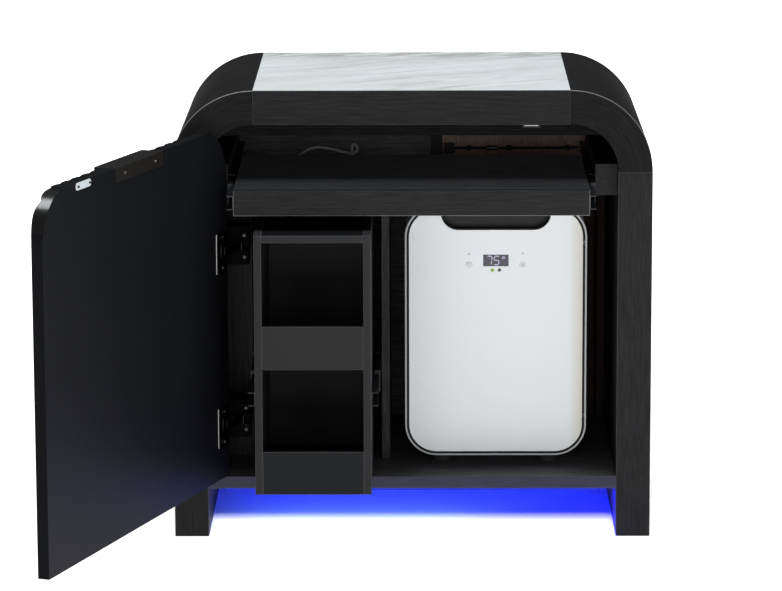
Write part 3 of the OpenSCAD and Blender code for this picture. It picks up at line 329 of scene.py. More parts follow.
def makeStone():
    # white stone, its veins run slantwise to the back and gather along the back edge
    look = FinishMaker("veinedStone", stoneLook["ground"], 0.25, 0.0, 0.3)
    turned = look.place(turn=(0, 0, math.radians(-stoneLook["veinTurn"])))

    def veined(stretch, *pattern):
        mapping = look.node("ShaderNodeMapping", {"Vector": turned, "Scale": (stretch, 1, 1)})
        return look.noise(mapping.outputs[0], *pattern)
    colour = look.ramp(veined(0.3, 13, 5.0, 0.6, 0.3),
                       (0.32, stoneLook["cloud"]), (0.56, stoneLook["ground"]))
    for scale, stretch, half, tone, patch in stoneLook["layers"]:
        line = veined(stretch, scale, 4.0, 0.5, 0.35)
        mask = look.ramp(line, (0.5 - half, 0), (0.5, 1), (0.5 + half * 0.5, 0))
        where = look.ramp(veined(0.5, patch, 2.0), (0.42, 0.05), (0.62, 1.0))
        colour = look.mix(colour, stoneLook[tone], look.multiplied(mask, where))
    # a darker vein near the back edge
    streak = look.ramp(veined(0.2, 22, 5.0, 0.6, 0.2), (0.46, 0), (0.54, 0.85), (0.60, 0))
    back = look.ranged(look.along("Y"), *stoneLook["backVein"])
    look.set("Base Color", look.mix(colour, stoneLook["vein"], look.multiplied(streak, back)))
    look.set("Roughness", look.ramp(veined(1.0, 30, 3.0), (0.2, 0.3), (0.8, 0.22)))
    return look


boardLook = {
    "chips": ((0.17, 0.115, 0.09), (0.36, 0.25, 0.20)),
    # painted shade: the colour of the board's inner face below the tray, where little light reaches
    "paintedShade": (0.012, 0.008, 0.007),
    "shadeUnder": (0.49, 0.53),     # fades between these heights
    "shadeLeast": 0.12,             # of the board's own colour that still shows
    "skin": (0.001, 0.002),        # how deep into the board the inner face's look goes
}


def makeRawBoard():
    look = FinishMaker("rawBoard", (0.2, 0.13, 0.1), 0.8, 0.0, 0.2)
    boardPlace = look.place((1, 1, 0.25))
    chips = look.noise(boardPlace, 420, 5.0, 0.7)
    streaks = look.noise(boardPlace, 40, 3.0)
    dark, pale = boardLook["chips"]
    colour = look.multiplied(look.ramp(chips, (0.3, dark), (0.7, pale)),
                             look.ramp(streaks, (0.3, 0.8), (0.7, 1.1)))
    # painted shade: the inner face is dark below the tray, where little light reaches
    start, end = (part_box("right_back_panel")[0].y + depth for depth in boardLook["skin"])
    above = look.ranged(look.along("Z"), *boardLook["shadeUnder"], boardLook["shadeLeast"])
    outside = look.ranged(look.along("Y"), start, end)
    lighter = look.node("ShaderNodeMath", {0: above, 1: outside}, operation="MAXIMUM")
    look.set("Base Color", look.mix(boardLook["paintedShade"], colour, lighter))
    look.bump(chips, 0.4, 0.0004)
    return look


def makeGlow(name, colour, strength):
    # a lit face, a little uneven from its middle out
    look = FinishMaker(name, scaled(colour, 0.1), 0.4, 0.0, 0.02)
    cloud = look.noise(look.place(), 240, 2.0)
    look.set("Emission Color", look.ramp(cloud, (0.3, scaled(colour, 0.8)), (0.7, colour)))
    look.set("Emission Strength", strength)
    return look


def makeClear():
    look = FinishMaker("clearShelf", (0.85, 0.9, 0.92), 0.08)
    look.set("Transmission Weight", 0.85)
    look.set("Roughness", look.ramp(look.noise(look.place(), 30, 3.0), (0.3, 0.06), (0.7, 0.14)))
    return look


veneers = {
    # grain, shade, roughness, the pattern's source, tint, specular
    "legVeneer": ("Z", 0.60),
    # painted shade: the left leg's veneer is darker for the open door's shadow
    "shadedLegVeneer": ("Z", 0.48),
    "innerLegVeneer": ("Z", 1.1),
    "boardVeneer": ("X", 0.48),
    # painted blue light: the bottom board's veneer is tinted blue for the strip's glow
    "floorBoardVeneer": ("X", 0.85, 0.4, "Object", (1, 1, 2.3), 0.3),
    # painted light: a lighter copy for the bottom board's top face, which lies in shade
    "floorBoardTop": ("X", 4.4, 0.4, "Object", (1, 1, 1), 0.3),
    # painted light: a lighter copy of the veneer for the divider, which stands in deep shade
    "dividerVeneer": ("Z", 1.7),
    "depthVeneer": ("Y", 1.1),
    "bentVeneer": ("X", 0.42, 0.55, "UV", (1, 1, 1), 0.08),
    # painted shade: a darker copy of the veneer for the board under the apron
    "shadeVeneer": ("X", 0.42, 0.7, "Object", (1, 1, 1), 0.03),
    # painted light: the back panel's inner face is a much lighter copy, for light that barely reaches it; its
    # outside is faded back to plain veneer
    "backVeneer": ("X", 3.4),
    "fluteVeneer": ("Z", 0.9, 0.42),
    "trayVeneer": ("X", 0.45, 0.42, "Object", (1, 1.02, 1.06)),
    "trayTopVeneer": ("X", 0.68, 0.42, "Object", (1, 1.03, 1.06)),
}
paints = {
    # colour, roughness, speckle, bump, specular, fineness
    "doorLacquer": ((0.0068, 0.0072, 0.0088), 0.45, 0.05, 0.03, 0.06),
    # painted shade: darker copies of the door's lacquer for its end faces and its rounded top
    "doorEdgeLacquer": ((0.0022, 0.0023, 0.0026), 0.2, 0.05, 0.02, 0.6),
    "doorTopLacquer": ((0.0035, 0.0038, 0.0045), 0.6, 0.05, 0.02, 0.05),
    "rackLacquer": ((0.0160, 0.0162, 0.0173), 0.5, 0.05, 0.08, 0.14, 1400),
    # painted shade: darker copies of the rack's lacquer for its low rail and for its top, on which little
    # light falls
    "rackLow": ((0.0085, 0.0092, 0.0112), 0.5, 0.05, 0.08, 0.10, 1400),
    "rackShade": ((0.0030, 0.0034, 0.0042), 0.6, 0.05, 0.08, 0.05, 1400),
    "edgeBand": ((0.042, 0.042, 0.045), 0.4, 0.2, 0.05, 0.3),
    # a pale edge band, painted lighter also for the highlight its edges catch
    "paleEdgeBand": ((0.18, 0.176, 0.172), 0.4, 0.2, 0.05, 0.4),
    "brightSteel": ((0.60, 0.64, 0.66), 0.4, 0.05, 0.05, 0.6),
    # painted glint: a pale paint for the light the hinge edges catch
    "glintZinc": ((0.62, 0.58, 0.55), 0.35, 0.05, 0.03, 0.6),
    "blackMetal": ((0.0105, 0.0085, 0.0078), 0.38, 0.2, 0.1, 0.25),
    "pullTop": ((0.0080, 0.0080, 0.0078), 0.5, 0.2, 0.1, 0.08),
    "pullEdge": ((0.15, 0.145, 0.135), 0.4, 0.2, 0.1, 0.4),
    "blackPlastic": ((0.0045, 0.0045, 0.0048), 0.5, 0.1, 0.1, 0.2),
    "blockBlack": ((0.0016, 0.0016, 0.0018), 0.6, 0.1, 0.1, 0.03),
    "leadPlastic": ((0.008, 0.008, 0.008), 0.18, 0.1, 0.02, 0.6),
    # painted highlight: a pale grey for the lead, standing for the light its loop catches
    "loopPlastic": ((0.34, 0.34, 0.35), 0.35, 0.1, 0.02, 0.9),
    "pocketPlastic": ((0.0060, 0.0068, 0.0065), 0.42, 0.1, 0.1, 0.22),
    "footRubber": ((0.010, 0.010, 0.0105), 0.8, 0.12, 0.2),
    "whitePlastic": ((0.72, 0.745, 0.76), 0.34, 0.004, 0.01, 0.3),
    "panelWhite": ((0.72, 0.745, 0.76), 0.34, 0.004, 0.01, 0.3),
    "keyPlastic": ((0.70, 0.72, 0.735), 0.36, 0.004, 0.01, 0.3),
    "greyPlastic": ((0.52, 0.53, 0.54), 0.38, 0.02, 0.02, 0.35),
    "ringPlastic": ((0.38, 0.39, 0.40), 0.4, 0.02, 0.02, 0.3),
    "grooveBlack": ((0.006, 0.0065, 0.0065), 0.5, 0.05, 0.02, 0.2),
    "iconGrey": ((0.30, 0.30, 0.31), 0.5, 0.05, 0.02, 0.3),
    "sealRubber": ((0.5, 0.5, 0.48), 0.7),
    "windowSmoke": ((0.036, 0.032, 0.050), 0.12, 0.05, 0.01, 0.4),
    "darkLens": ((0.11, 0.13, 0.11), 0.2, 0.1, 0.01),
    "tapeWhite": ((0.6, 0.6, 0.62), 0.5),
    "paleFloor": ((0.93, 0.93, 0.93), 0.9, 0.0, 0.0),
}
metals = {
    # colour, roughness, grain
    "zinc": ((0.50, 0.485, 0.47), 0.42),
    # painted shade: dark copies of zinc for the hinge parts and the runners, standing for the dark
    # reflections and shade they show
    "darkZinc": ((0.022, 0.021, 0.021), 0.3, "X"),
    "railZinc": ((0.040, 0.042, 0.046), 0.42, "Y"),
    "blackScrew": ((0.07, 0.07, 0.07), 0.35),
    "aluminium": ((0.7, 0.71, 0.73), 0.38, "X"),
}
glows = {
    # colour, strength
    "blueChip": ((0.02, 0.06, 1.0), 18),
    # painted light: the light channel's front glows blue, though it is no lamp
    "blueCover": ((0.020, 0.040, 0.66), 1.0),
    "figureGlow": ((0.58, 0.56, 0.76), 0.95),
    "greenLens": ((0.30, 0.46, 0.07), 1.0),
}
looks = {"stone": makeStone(), "rawBoard": makeRawBoard(), "clearShelf": makeClear()}
for make, table in ((makeVeneer, veneers), (makePaint, paints), (makeMetal, metals), (makeGlow, glows)):
    looks.update({name: make(name, *values) for name, values in table.items()})

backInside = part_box("left_back_panel")[0].y
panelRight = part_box("fridge_door_panel")[1].x
fades = {
    # axis, where it starts and ends, the colour there, and how it goes over the finish:
    # painted light and shade: bluer and darker at the door's foot for the strip's blue glow, the back panel's
    # painted light on its inner face taken off its outside, a warmer painted shade along the panel's right
    # side
    "doorLacquer": ("Z", 0.30, 0.08, (0.0046, 0.0049, 0.0094), "MIX"),
    "backVeneer": ("Y", backInside + 0.001, backInside + 0.002, (0.2, 0.2, 0.2), "MULTIPLY"),
    "panelWhite": ("X", panelRight - 0.020, panelRight - 0.002, (0.60, 0.585, 0.52), "MIX"),
}
for name, (axis, start, end, tone, blend) in fades.items():
    look = looks[name]
    own = look.shader.inputs["Base Color"].links[0].from_socket
    look.set("Base Color", look.mix(own, tone, look.ranged(look.along(axis), start, end), blend))
finish = {name: look.material for name, look in looks.items()}

# nodes whose own shape shows as it is
nodeFinish = {
    "depthVeneer": "tray_battens",
    "shadeVeneer": "sub_top_board",
    "backVeneer": "left_back_panel",
    "rawBoard": "right_back_panel top_core",
    "zinc": "fridge_hinge_pins",
    "darkZinc": "hinge_links",
    "railZinc": "tray_outer_rails tray_mid_rails tray_inner_rails "
                "rack_outer_rails rack_mid_rails rack_inner_rails",
    "blackPlastic": "back_joint_strip cable_clips power_inlet rear_grille fan_rotor",
    "leadPlastic": "led_lead lead_connector",
    "pocketPlastic": "handle_pocket",
    "footRubber": "fridge_feet",
    "aluminium": "heat_sink",
    "whitePlastic": "fridge_tub fridge_door_liner",
    "keyPlastic": "left_key right_key",
    "clearShelf": "fridge_shelf",
    "sealRubber": "door_seal",
}


def dressNodes():
    for finishName, names in nodeFinish.items():
        for name in names.split():
            mesh = frame["nodes"][name].data
            mesh.materials.clear()
            mesh.materials.append(finish[finishName])


def addPiece(name, mesh, body, replaced=(), materials=()):
    for material in materials:
        mesh.materials.append(finish[material])
    piece = bpy.data.objects.new(name, mesh)
    scene.collection.objects.link(piece)
    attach(piece, body)
    if replaced:
        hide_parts(*replaced)
    return piece


def meshFrom(name, verts, faces):
    mesh = bpy.data.meshes.new(name)
    mesh.from_pydata([tuple(v) for v in verts], [], faces)
    mesh.update()
    return mesh


def meshOf(shape, name):
    # the edited shape as a new mesh
    mesh = bpy.data.meshes.new(name)
    shape.to_mesh(mesh)
    shape.free()
    return mesh


def addBlock(name, middle, size, ease, body, material, replaced=()):
    # a block with rounded edges
    shape = bmesh.new()
    bmesh.ops.create_cube(shape, size=1, matrix=Matrix.Translation(middle) @ Matrix.Diagonal((*size, 1)))
    bmesh.ops.bevel(shape, geom=list(shape.edges), offset=ease, segments=2, affect="EDGES", profile=0.5)
    return addPiece(name, meshOf(shape, name), body, replaced, (material,))


def evaluatedMesh(helper, name):
    # the modifiers' result as a plain mesh, the helper object is dropped
    bpy.context.view_layer.update()
    depsgraph = bpy.context.evaluated_depsgraph_get()
    mesh = bpy.data.meshes.new_from_object(helper.evaluated_get(depsgraph), depsgraph=depsgraph)
    mesh.name = name
    bpy.data.objects.remove(helper)
    return mesh


def helperOf(data):
    helper = bpy.data.objects.new("helper", data)
    scene.collection.objects.link(helper)
    return helper


softEdge = {
    "board": 0.0006,         # widths of the broken edges
    "thinBoard": 0.0005,
    "blunt": 0.0008,
    "shell": 0.0010,
    "hingeCup": 0.0005,
    "metal": 0.0004,
    "channel": 0.0003,
    "flatUnder": 0.5,        # degrees, triangles this close to one plane are one face
    "smoothUnder": 24,
    "brokenOver": 32,
    "together": 2e-6,        # points this near are one
    "evenness": 90,
}


def mergedCopy(nodeName):
    # a copy of the node with its loose triangles joined into whole faces
    mesh = frame["nodes"][nodeName].data.copy()
    mesh.materials.clear()
    shape = bmesh.new()
    shape.from_mesh(mesh)
    bmesh.ops.remove_doubles(shape, verts=shape.verts, dist=softEdge["together"])
    bmesh.ops.dissolve_limit(shape, angle_limit=math.radians(softEdge["flatUnder"]),
                             verts=shape.verts, edges=shape.edges)
    bmesh.ops.recalc_face_normals(shape, faces=shape.faces)
    shape.to_mesh(mesh)
    shape.free()
    return mesh


def softened(nodeName, materials, width="board", steps=2, angle=softEdge["brokenOver"],
             pickFace=None, repaint=None):
    # the node's shape with its edges broken; the second material is the edge's own
    mesh = mergedCopy(nodeName)
    for material in materials:
        mesh.materials.append(finish[material])
    if pickFace:
        for face in mesh.polygons:
            face.material_index = pickFace(face)
    mesh.shade_smooth()
    mesh.set_sharp_from_angle(angle=math.radians(softEdge["smoothUnder"]))
    helper = helperOf(mesh)
    bevel = helper.modifiers.new("brokenEdge", "BEVEL")
    bevel.width = softEdge[width]
    bevel.segments = steps
    bevel.limit_method = "ANGLE"
    bevel.angle_limit = math.radians(angle)
    bevel.use_clamp_overlap = True
    if len(materials) > 1:
        bevel.material = 1
    weighted = helper.modifiers.new("evenShading", "WEIGHTED_NORMAL")
    weighted.mode = "FACE_AREA"
    weighted.weight = softEdge["evenness"]
    soft = evaluatedMesh(helper, nodeName + "Soft")
    if repaint:
        for face in soft.polygons:
            face.material_index = repaint(face)
    return addPiece(nodeName + "Soft", soft, frame["nodes"][nodeName]["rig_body"], (nodeName,))


class TreeMaker(NodeMaker):
    # a Geometry Nodes tree with named inputs, used for what repeats
    def __init__(self, name, sockets):
        self.tree = bpy.data.node_groups.new(name, "GeometryNodeTree")

        def socket(label, kind, way="INPUT"):
            return self.tree.interface.new_socket(name=label, in_out=way, socket_type="NodeSocket" + kind)
        socket("Geometry", "Geometry")
        self.ids = {label: socket(label, kind).identifier for label, kind in sockets.items()}
        socket("Geometry", "Geometry", "OUTPUT")
        self.given = self.tree.nodes.new("NodeGroupInput")
        self.out = self.tree.nodes.new("NodeGroupOutput")

    def feed(self, socket, value):
        # a word names one of the tree's own inputs
        super().feed(socket, self.given.outputs[value] if isinstance(value, str) else value)

    def times(self, a, b):
        return self.node("ShaderNodeMath", {0: a, 1: b}, operation="MULTIPLY")

    def vector(self, x=0.0, y=0.0, z=0.0):
        return self.node("ShaderNodeCombineXYZ", {"X": x, "Y": y, "Z": z})

    def raised(self, geometry, z):
        return self.node("GeometryNodeTransform", {"Geometry": geometry, "Translation": self.vector(z=z)})

    def joined(self, *parts):
        node = self.node("GeometryNodeJoinGeometry")
        for part in parts:
            self.feed(node.inputs[0], part)
        return node

    def close(self, geometry):
        real = self.node("GeometryNodeRealizeInstances", {"Geometry": geometry})
        done = self.node("GeometryNodeSetMaterial", {"Geometry": real, "Material": "Material"})
        self.feed(self.out.inputs[0], done)

    def baked(self, name, values, points=((0, 0, 0),)):
        helper = helperOf(meshFrom(name + "Points", points, []))
        modifier = helper.modifiers.new("nodes", "NODES")
        modifier.node_group = self.tree
        for label, value in values.items():
            modifier[self.ids[label]] = value
        return evaluatedMesh(helper, name)


def screwTree():
    maker = TreeMaker("screwAtPoints", {
        "Head radius": "Float", "Head height": "Float", "Shank radius": "Float", "Shank length": "Float",
        "Slot width": "Float", "Turn": "Vector", "Seed": "Int", "Material": "Material"})
    halfHead = maker.times("Head height", 0.5)
    rim = maker.node("GeometryNodeMeshCylinder", {"Vertices": 28, "Radius": "Head radius", "Depth": halfHead})
    crown = maker.node("GeometryNodeMeshCone", {"Vertices": 28, "Radius Bottom": "Head radius",
                                                "Radius Top": maker.times("Head radius", 0.62),
                                                "Depth": halfHead})
    head = maker.joined(maker.raised(rim, maker.times("Head height", 0.25)), maker.raised(crown, halfHead))
    slotLength = maker.times("Head radius", 1.05)
    arms = [maker.node("GeometryNodeMeshCube", {"Size": maker.vector(x, y, "Head height")})
            for x, y in ((slotLength, "Slot width"), ("Slot width", slotLength))]
    cross = maker.raised(maker.joined(*arms), "Head height")
    cut = maker.node("GeometryNodeMeshBoolean", {"Mesh 1": head, "Mesh 2": cross}, operation="DIFFERENCE")
    shank = maker.node("GeometryNodeMeshCylinder", {"Vertices": 14, "Radius": "Shank radius",
                                                    "Depth": "Shank length"})
    whole = maker.joined(cut, maker.raised(shank, maker.times("Shank length", -0.5)))
    spread = maker.node("GeometryNodeInstanceOnPoints", {"Points": "Geometry", "Instance": whole,
                                                         "Rotation": "Turn"})
    chance = maker.node("FunctionNodeRandomValue", {2: 0.0, 3: 3.14, "Seed": "Seed"}, data_type="FLOAT")
    spin = maker.vector(z=chance.outputs[1])
    maker.close(maker.node("GeometryNodeRotateInstances", {"Instances": spread, "Rotation": spin}))
    return maker


def rowTree():
    # small stepped studs in a row
    maker = TreeMaker("rowOfStuds", {"Count": "Int", "Start": "Vector", "Step": "Vector", "Size": "Vector",
                                     "Dome": "Float", "Material": "Material"})
    row = maker.node("GeometryNodeMeshLine", {"Count": "Count", "Start Location": "Start", "Offset": "Step"},
                     mode="OFFSET")
    block = maker.node("GeometryNodeMeshCube", {"Size": "Size"})
    dome = maker.node("GeometryNodeMeshUVSphere", {"Segments": 12, "Rings": 8, "Radius": "Dome"})
    stud = maker.joined(block, dome)
    maker.close(maker.node("GeometryNodeInstanceOnPoints", {"Points": row, "Instance": stud}))
    return maker


arch = {
    "seamX": 0.230,        # where the arch meets the straight top
    "springZ": 0.545,      # where it meets the legs
    "outer": 0.120,
    "inner": 0.070,
    "front": -0.200,
    "back": 0.200,
    "ease": 0.0008,        # broken edges
    "easePoints": 4,
    # the outer edges' pale band is partly a painted highlight
    "bandWidth": 0.0012,   # the outer edges' own finish
    "steps": 56,
    "patternShift": 0.3,   # between the two corners' grain
    "endGrain": 0.2,
    "smoothUnder": 20,
}


def cornerSection(inset):
    # (radius, depth) points round the section, its corners eased
    ease, last = arch["ease"], arch["easePoints"] - 1
    corners = ((arch["inner"], arch["back"], 1, -1), (arch["outer"], arch["back"], -1, -1),
               (arch["outer"], arch["front"], -1, 1), (arch["inner"], arch["front"], 1, 1))
    loop = []
    for radius, depth, inR, inY in corners:
        middle = radius + inR * (inset + ease), depth + inY * (inset + ease)
        first = math.atan2(-inY, -inR) - math.pi / 4
        for k in range(last + 1):
            a = first + math.pi / 2 * (k / last if inR * inY < 0 else 1 - k / last)
            loop.append((middle[0] + ease * math.cos(a), middle[1] + ease * math.sin(a)))
    # in turn around the section's middle, which is 8 times as deep as it is thick
    midRadius = (arch["inner"] + arch["outer"]) / 2
    return sorted(loop, key=lambda point: math.atan2(point[1], (point[0] - midRadius) * 8))


def bentCorner(side):
    # the section is bent about the corner's middle
    ease, outer, band = arch["ease"], arch["outer"], arch["bandWidth"]
    full, small = cornerSection(0.0), cornerSection(ease)
    count = len(full)
    lengths = [0.0]
    for i in range(count):
        lengths.append(lengths[-1] + math.dist(full[i], full[(i + 1) % count]))
    lip = ease / outer
    angles = [(0.0, small), (lip, full)]
    angles += [(math.pi / 2 * k / arch["steps"], full) for k in range(1, arch["steps"])]
    angles += [(math.pi / 2 - lip, full), (math.pi / 2, small)]
    shape = bmesh.new()
    uv = shape.loops.layers.uv.new("grainMap")
    shift = arch["patternShift"] if side > 0 else 0.0
    rings = []
    for angle, loop in angles:
        rings.append([shape.verts.new((side * (arch["seamX"] + r * math.cos(angle)), y,
                                       arch["springZ"] + r * math.sin(angle))) for r, y in loop])
    for k in range(len(rings) - 1):
        for i in range(count):
            j = (i + 1) % count
            face = shape.faces.new((rings[k][i], rings[k + 1][i], rings[k + 1][j], rings[k][j]))
            for corner, (m, n) in zip(face.loops, ((k, i), (k + 1, i), (k + 1, i + 1), (k, i + 1))):
                corner[uv].uv = (angles[m][0] * outer + shift, lengths[n])
            # the outer front and back edges take the pale band, lighter also as a painted highlight
            ends = full[i], full[j]
            outside = all(r > outer - band for r, _ in ends)
            atFront = all(y < arch["front"] + band for _, y in ends)
            atBack = all(y > arch["back"] - band for _, y in ends)
            face.material_index = 1 if outside and (atFront or atBack) else 0
    for ring in (rings[0][::-1], rings[-1]):
        face = shape.faces.new(ring)
        for corner in face.loops:
            corner[uv].uv = (corner.vert.co.x * arch["endGrain"], corner.vert.co.y)
    bmesh.ops.recalc_face_normals(shape, faces=shape.faces)
    word = "right" if side > 0 else "left"
    mesh = meshOf(shape, word + "CornerBent")
    mesh.shade_smooth()
    mesh.set_sharp_from_angle(angle=math.radians(arch["smoothUnder"]))
    addPiece(word + "CornerBent", mesh, "cabinet", (word + "_corner",),
             ("bentVeneer", "paleEdgeBand"))


levelFrom = 0.9            # a face whose normal goes up more than this is a top
armLook = {
    "capFrom": -0.2565,    # the black cap's end, across the cabinet
    "glintFacing": -0.3,   # faces that look at least so far forwards and down
    "glintArea": 4e-5,
}
coverDepth = 0.0004        # of the light channel's cover


def dressFrame():
    for side in (-1, 1):
        bentCorner(side)
    for name, veneerName in (("left_leg", "shadedLegVeneer"), ("right_leg", "legVeneer"),
                             ("front_apron", "boardVeneer"), ("back_apron", "boardVeneer")):
        softened(name, (veneerName, "edgeBand"))
    # the bottom board's front has painted blue light, its top faces get the painted-light copy
    softened("bottom_board", ("floorBoardVeneer", "edgeBand", "floorBoardTop"),
             pickFace=lambda face: 2 if face.normal.z > levelFrom else 0)
    softened("divider", ("dividerVeneer", "edgeBand"))
    softened("left_filler", ("innerLegVeneer", "edgeBand"))
    softened("stone_top", ("stone",))
    softened("hinge_blocks", ("blockBlack",), "blunt")

    def armFaces(face):
        # painted glint: the lower front edges get a pale paint for the light they catch, the arm ends in a
        # black cap
        if max(face.normal.y, face.normal.z) < armLook["glintFacing"] and face.area < armLook["glintArea"]:
            return 2
        return 1 if face.center.x > armLook["capFrom"] else 0
    softened("hinge_arms", ("darkZinc", "blockBlack", "glintZinc"), "metal", repaint=armFaces)
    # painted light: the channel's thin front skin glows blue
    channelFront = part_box("led_channel")[0].y + coverDepth
    softened("led_channel", ("aluminium", "blueCover"), "channel",
             repaint=lambda face: 1 if face.center.y < channelFront else 0)


catchLook = {
    "poleSize": (0.0205, 0.004, 0.0014),
    "poleEase": 0.0003,
    "poleOut": 0.0001,
    "fromTop": 0.0050,
}


def dressCatch():
    softened("magnet_catch", ("blackPlastic",), "blunt")
    low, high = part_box("magnet_catch")
    size = Vector(catchLook["poleSize"])
    place = Vector(((low.x + high.x) / 2, low.y + size.y / 2 - catchLook["poleOut"],
                    high.z - catchLook["fromTop"]))
    addBlock("catchPole", place, size, catchLook["poleEase"], "cabinet", "zinc")


hinge = {
    "armPin": (-0.2488, -0.1765),
    "cupPin": (-0.2888, -0.186),
    "linkTurn": 32.8,
    "doorTurn": -143.6,
}


def doorPlace():
    # from the closed door's place to where the open door stands
    def about(point, degrees):
        there = Matrix.Translation((*point, 0))
        return there @ Matrix.Rotation(math.radians(degrees), 4, "Z") @ there.inverted()
    return about(hinge["armPin"], hinge["linkTurn"]) @ about(hinge["cupPin"], hinge["doorTurn"])


doorSpot = doorPlace().to_3x3()
screwLook = {
    "headHeight": 0.0014,
    "shankRadius": 0.0014,
    "slotWidth": 0.0011,
    "shortBy": 0.0005,       # the shank ends inside the hole
    "sameEnd": 1e-5,
    "darkNear": 0.003,       # screws this near the strike plate are black
    "cabinet_screws": {"body": "cabinet", "metal": "blackScrew", "headRadius": 0.0033, "seed": 3,
                       "out": Vector((0, -1, 0))},
    "door_screws": {"body": "door", "metal": "zinc", "headRadius": 0.0029, "seed": 4,
                    "out": doorSpot @ Vector((0, 1, 0))},
}


def screwMiddles(nodeName, axis):
    # the middle of each loose screw of a node, found from its own connected shape
    mesh = mergedCopy(nodeName)
    shape = bmesh.new()
    shape.from_mesh(mesh)
    bpy.data.meshes.remove(mesh)
    seen, spots = set(), []
    for start in shape.verts:
        if start in seen:
            continue
        island, stack = [], [start]
        seen.add(start)
        while stack:
            vert = stack.pop()
            island.append(vert.co.copy())
            for edge in vert.link_edges:
                other = edge.other_vert(vert)
                if other not in seen:
                    seen.add(other)
                    stack.append(other)
        along = [co.dot(axis) for co in island]
        top = [co for co, a in zip(island, along) if a > max(along) - screwLook["sameEnd"]]
        spots.append((sum(top, Vector()) / len(top), round(max(along) - min(along), 4)))
    shape.free()
    return spots


def dressScrews():
    maker = screwTree()
    height = screwLook["headHeight"]
    low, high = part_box("strike_plate")
    for nodeName in ("cabinet_screws", "door_screws"):
        look = screwLook[nodeName]
        out = look["out"]
        spots = screwMiddles(nodeName, out)
        joined = bmesh.new()
        for length in sorted({l for _, l in spots}):
            points = [p - out * height for p, l in spots if l == length]
            joined.from_mesh(maker.baked(nodeName + "Row", {
                "Head radius": look["headRadius"], "Head height": height,
                "Shank radius": screwLook["shankRadius"],
                "Shank length": length - height - screwLook["shortBy"],
                "Slot width": screwLook["slotWidth"], "Turn": tuple(out.to_track_quat("Z", "Y").to_euler()),
                "Seed": look["seed"], "Material": finish[look["metal"]]}, points))
        whole = meshOf(joined, nodeName + "Crossed")
        for material in (look["metal"], "blackScrew"):
            whole.materials.append(finish[material])
        near = screwLook["darkNear"]
        for face in whole.polygons:
            inside = all(a - near < c < b + near for a, c, b in zip(low, face.center, high))
            face.material_index = 1 if inside else 0
        addPiece(nodeName + "Crossed", whole, look["body"], (nodeName,))


doorLook = {
    "brokenOver": 50,
    "fluted": 0.15,              # faces that look at least so far outwards are fluted
    "inner": -0.9,
    "topEdge": (0.3, 0.97),      # how far the top's rounded faces look up
    "flangeGlint": 0.0012,       # the bright stripe along the hinge cups' flanges
}


def dressDoor():
    outward = doorSpot @ Vector((0, -1, 0))
    freeWay = doorSpot @ Vector((1, 0, 0))

    def pick(face):
        out = face.normal.dot(outward)
        if out > doorLook["fluted"]:
            return 2
        if out < doorLook["inner"]:
            return 0
        return 3 if doorLook["topEdge"][0] < face.normal.z < doorLook["topEdge"][1] else 4
    softened("door_panel", ("doorLacquer", "edgeBand", "fluteVeneer", "doorEdgeLacquer", "doorTopLacquer"),
             angle=doorLook["brokenOver"], pickFace=pick)
    softened("edge_pull", ("blackMetal", "pullEdge", "pullTop"), "blunt",
             pickFace=lambda face: 2 if face.normal.z > levelFrom else 0)
    # painted shade and glint: dark flanges, a pale painted glint along the side that faces the door's free
    # edge
    flangeSide = max(Vector(v.co).dot(freeWay) for v in frame["nodes"]["hinge_cups"].data.vertices)
    softened("hinge_cups", ("darkZinc", "glintZinc"), "hingeCup",
             repaint=lambda face: 1 if face.center.dot(freeWay) > flangeSide - doorLook["flangeGlint"] else 0)
    softened("strike_plate", ("brightSteel",), "metal")


trayLook = {
    "bandWidth": 0.0008,     # the front board's pale band, below and at the ends
    "bandArea": 0.0009,      # its faces are smaller than this
    "bandTurn": 0.98,        # and turned away from the board's own faces
}


def dressTray():
    low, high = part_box("tray_front_board")
    band = trayLook["bandWidth"]
    sideways = (high.x - low.x) / 2 - band

    # the pale band, partly a painted highlight
    def paleEdges(face):
        inFront = face.center.y < low.y + band
        atEdge = face.center.z < low.z + band or abs(face.center.x) > sideways
        small = face.area < trayLook["bandArea"] and max(abs(c) for c in face.normal) < trayLook["bandTurn"]
        return 1 if small and inFront and atEdge else 0
    softened("tray_front_board", ("trayVeneer", "paleEdgeBand"), repaint=paleEdges)
    softened("tray_board", ("trayTopVeneer", "edgeBand"), "thinBoard")
    softened("tray_frame", ("trayVeneer", "edgeBand"), "thinBoard")


rackLook = {
    "topSkin": 0.0005,
    "lowRailUnder": 0.1,     # faces of the rails lower than this, from their foot, are the low rail's
}


def dressRack():
    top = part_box("rack_boards")[1].z - rackLook["topSkin"]
    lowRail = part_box("rack_front_rails")[0].z + rackLook["lowRailUnder"]
    # painted shade on the rack's top faces and on its low rail
    softened("rack_sides", ("rackLacquer", "edgeBand"))
    softened("rack_boards", ("rackLacquer", "edgeBand", "rackShade"), "thinBoard",
             pickFace=lambda face: 2 if face.normal.z > levelFrom and face.center.z > top else 0)
    softened("rack_front_rails", ("rackLacquer", "edgeBand", "rackLow"),
             pickFace=lambda face: 2 if face.center.z < lowRail else 0)


stripLook = {
    "pitch": 0.0166,
    "chip": (0.005, 0.005, 0.0010),
    "dome": 0.0016,
    "tape": 0.0006,
    "tapeEase": 0.0001,
}


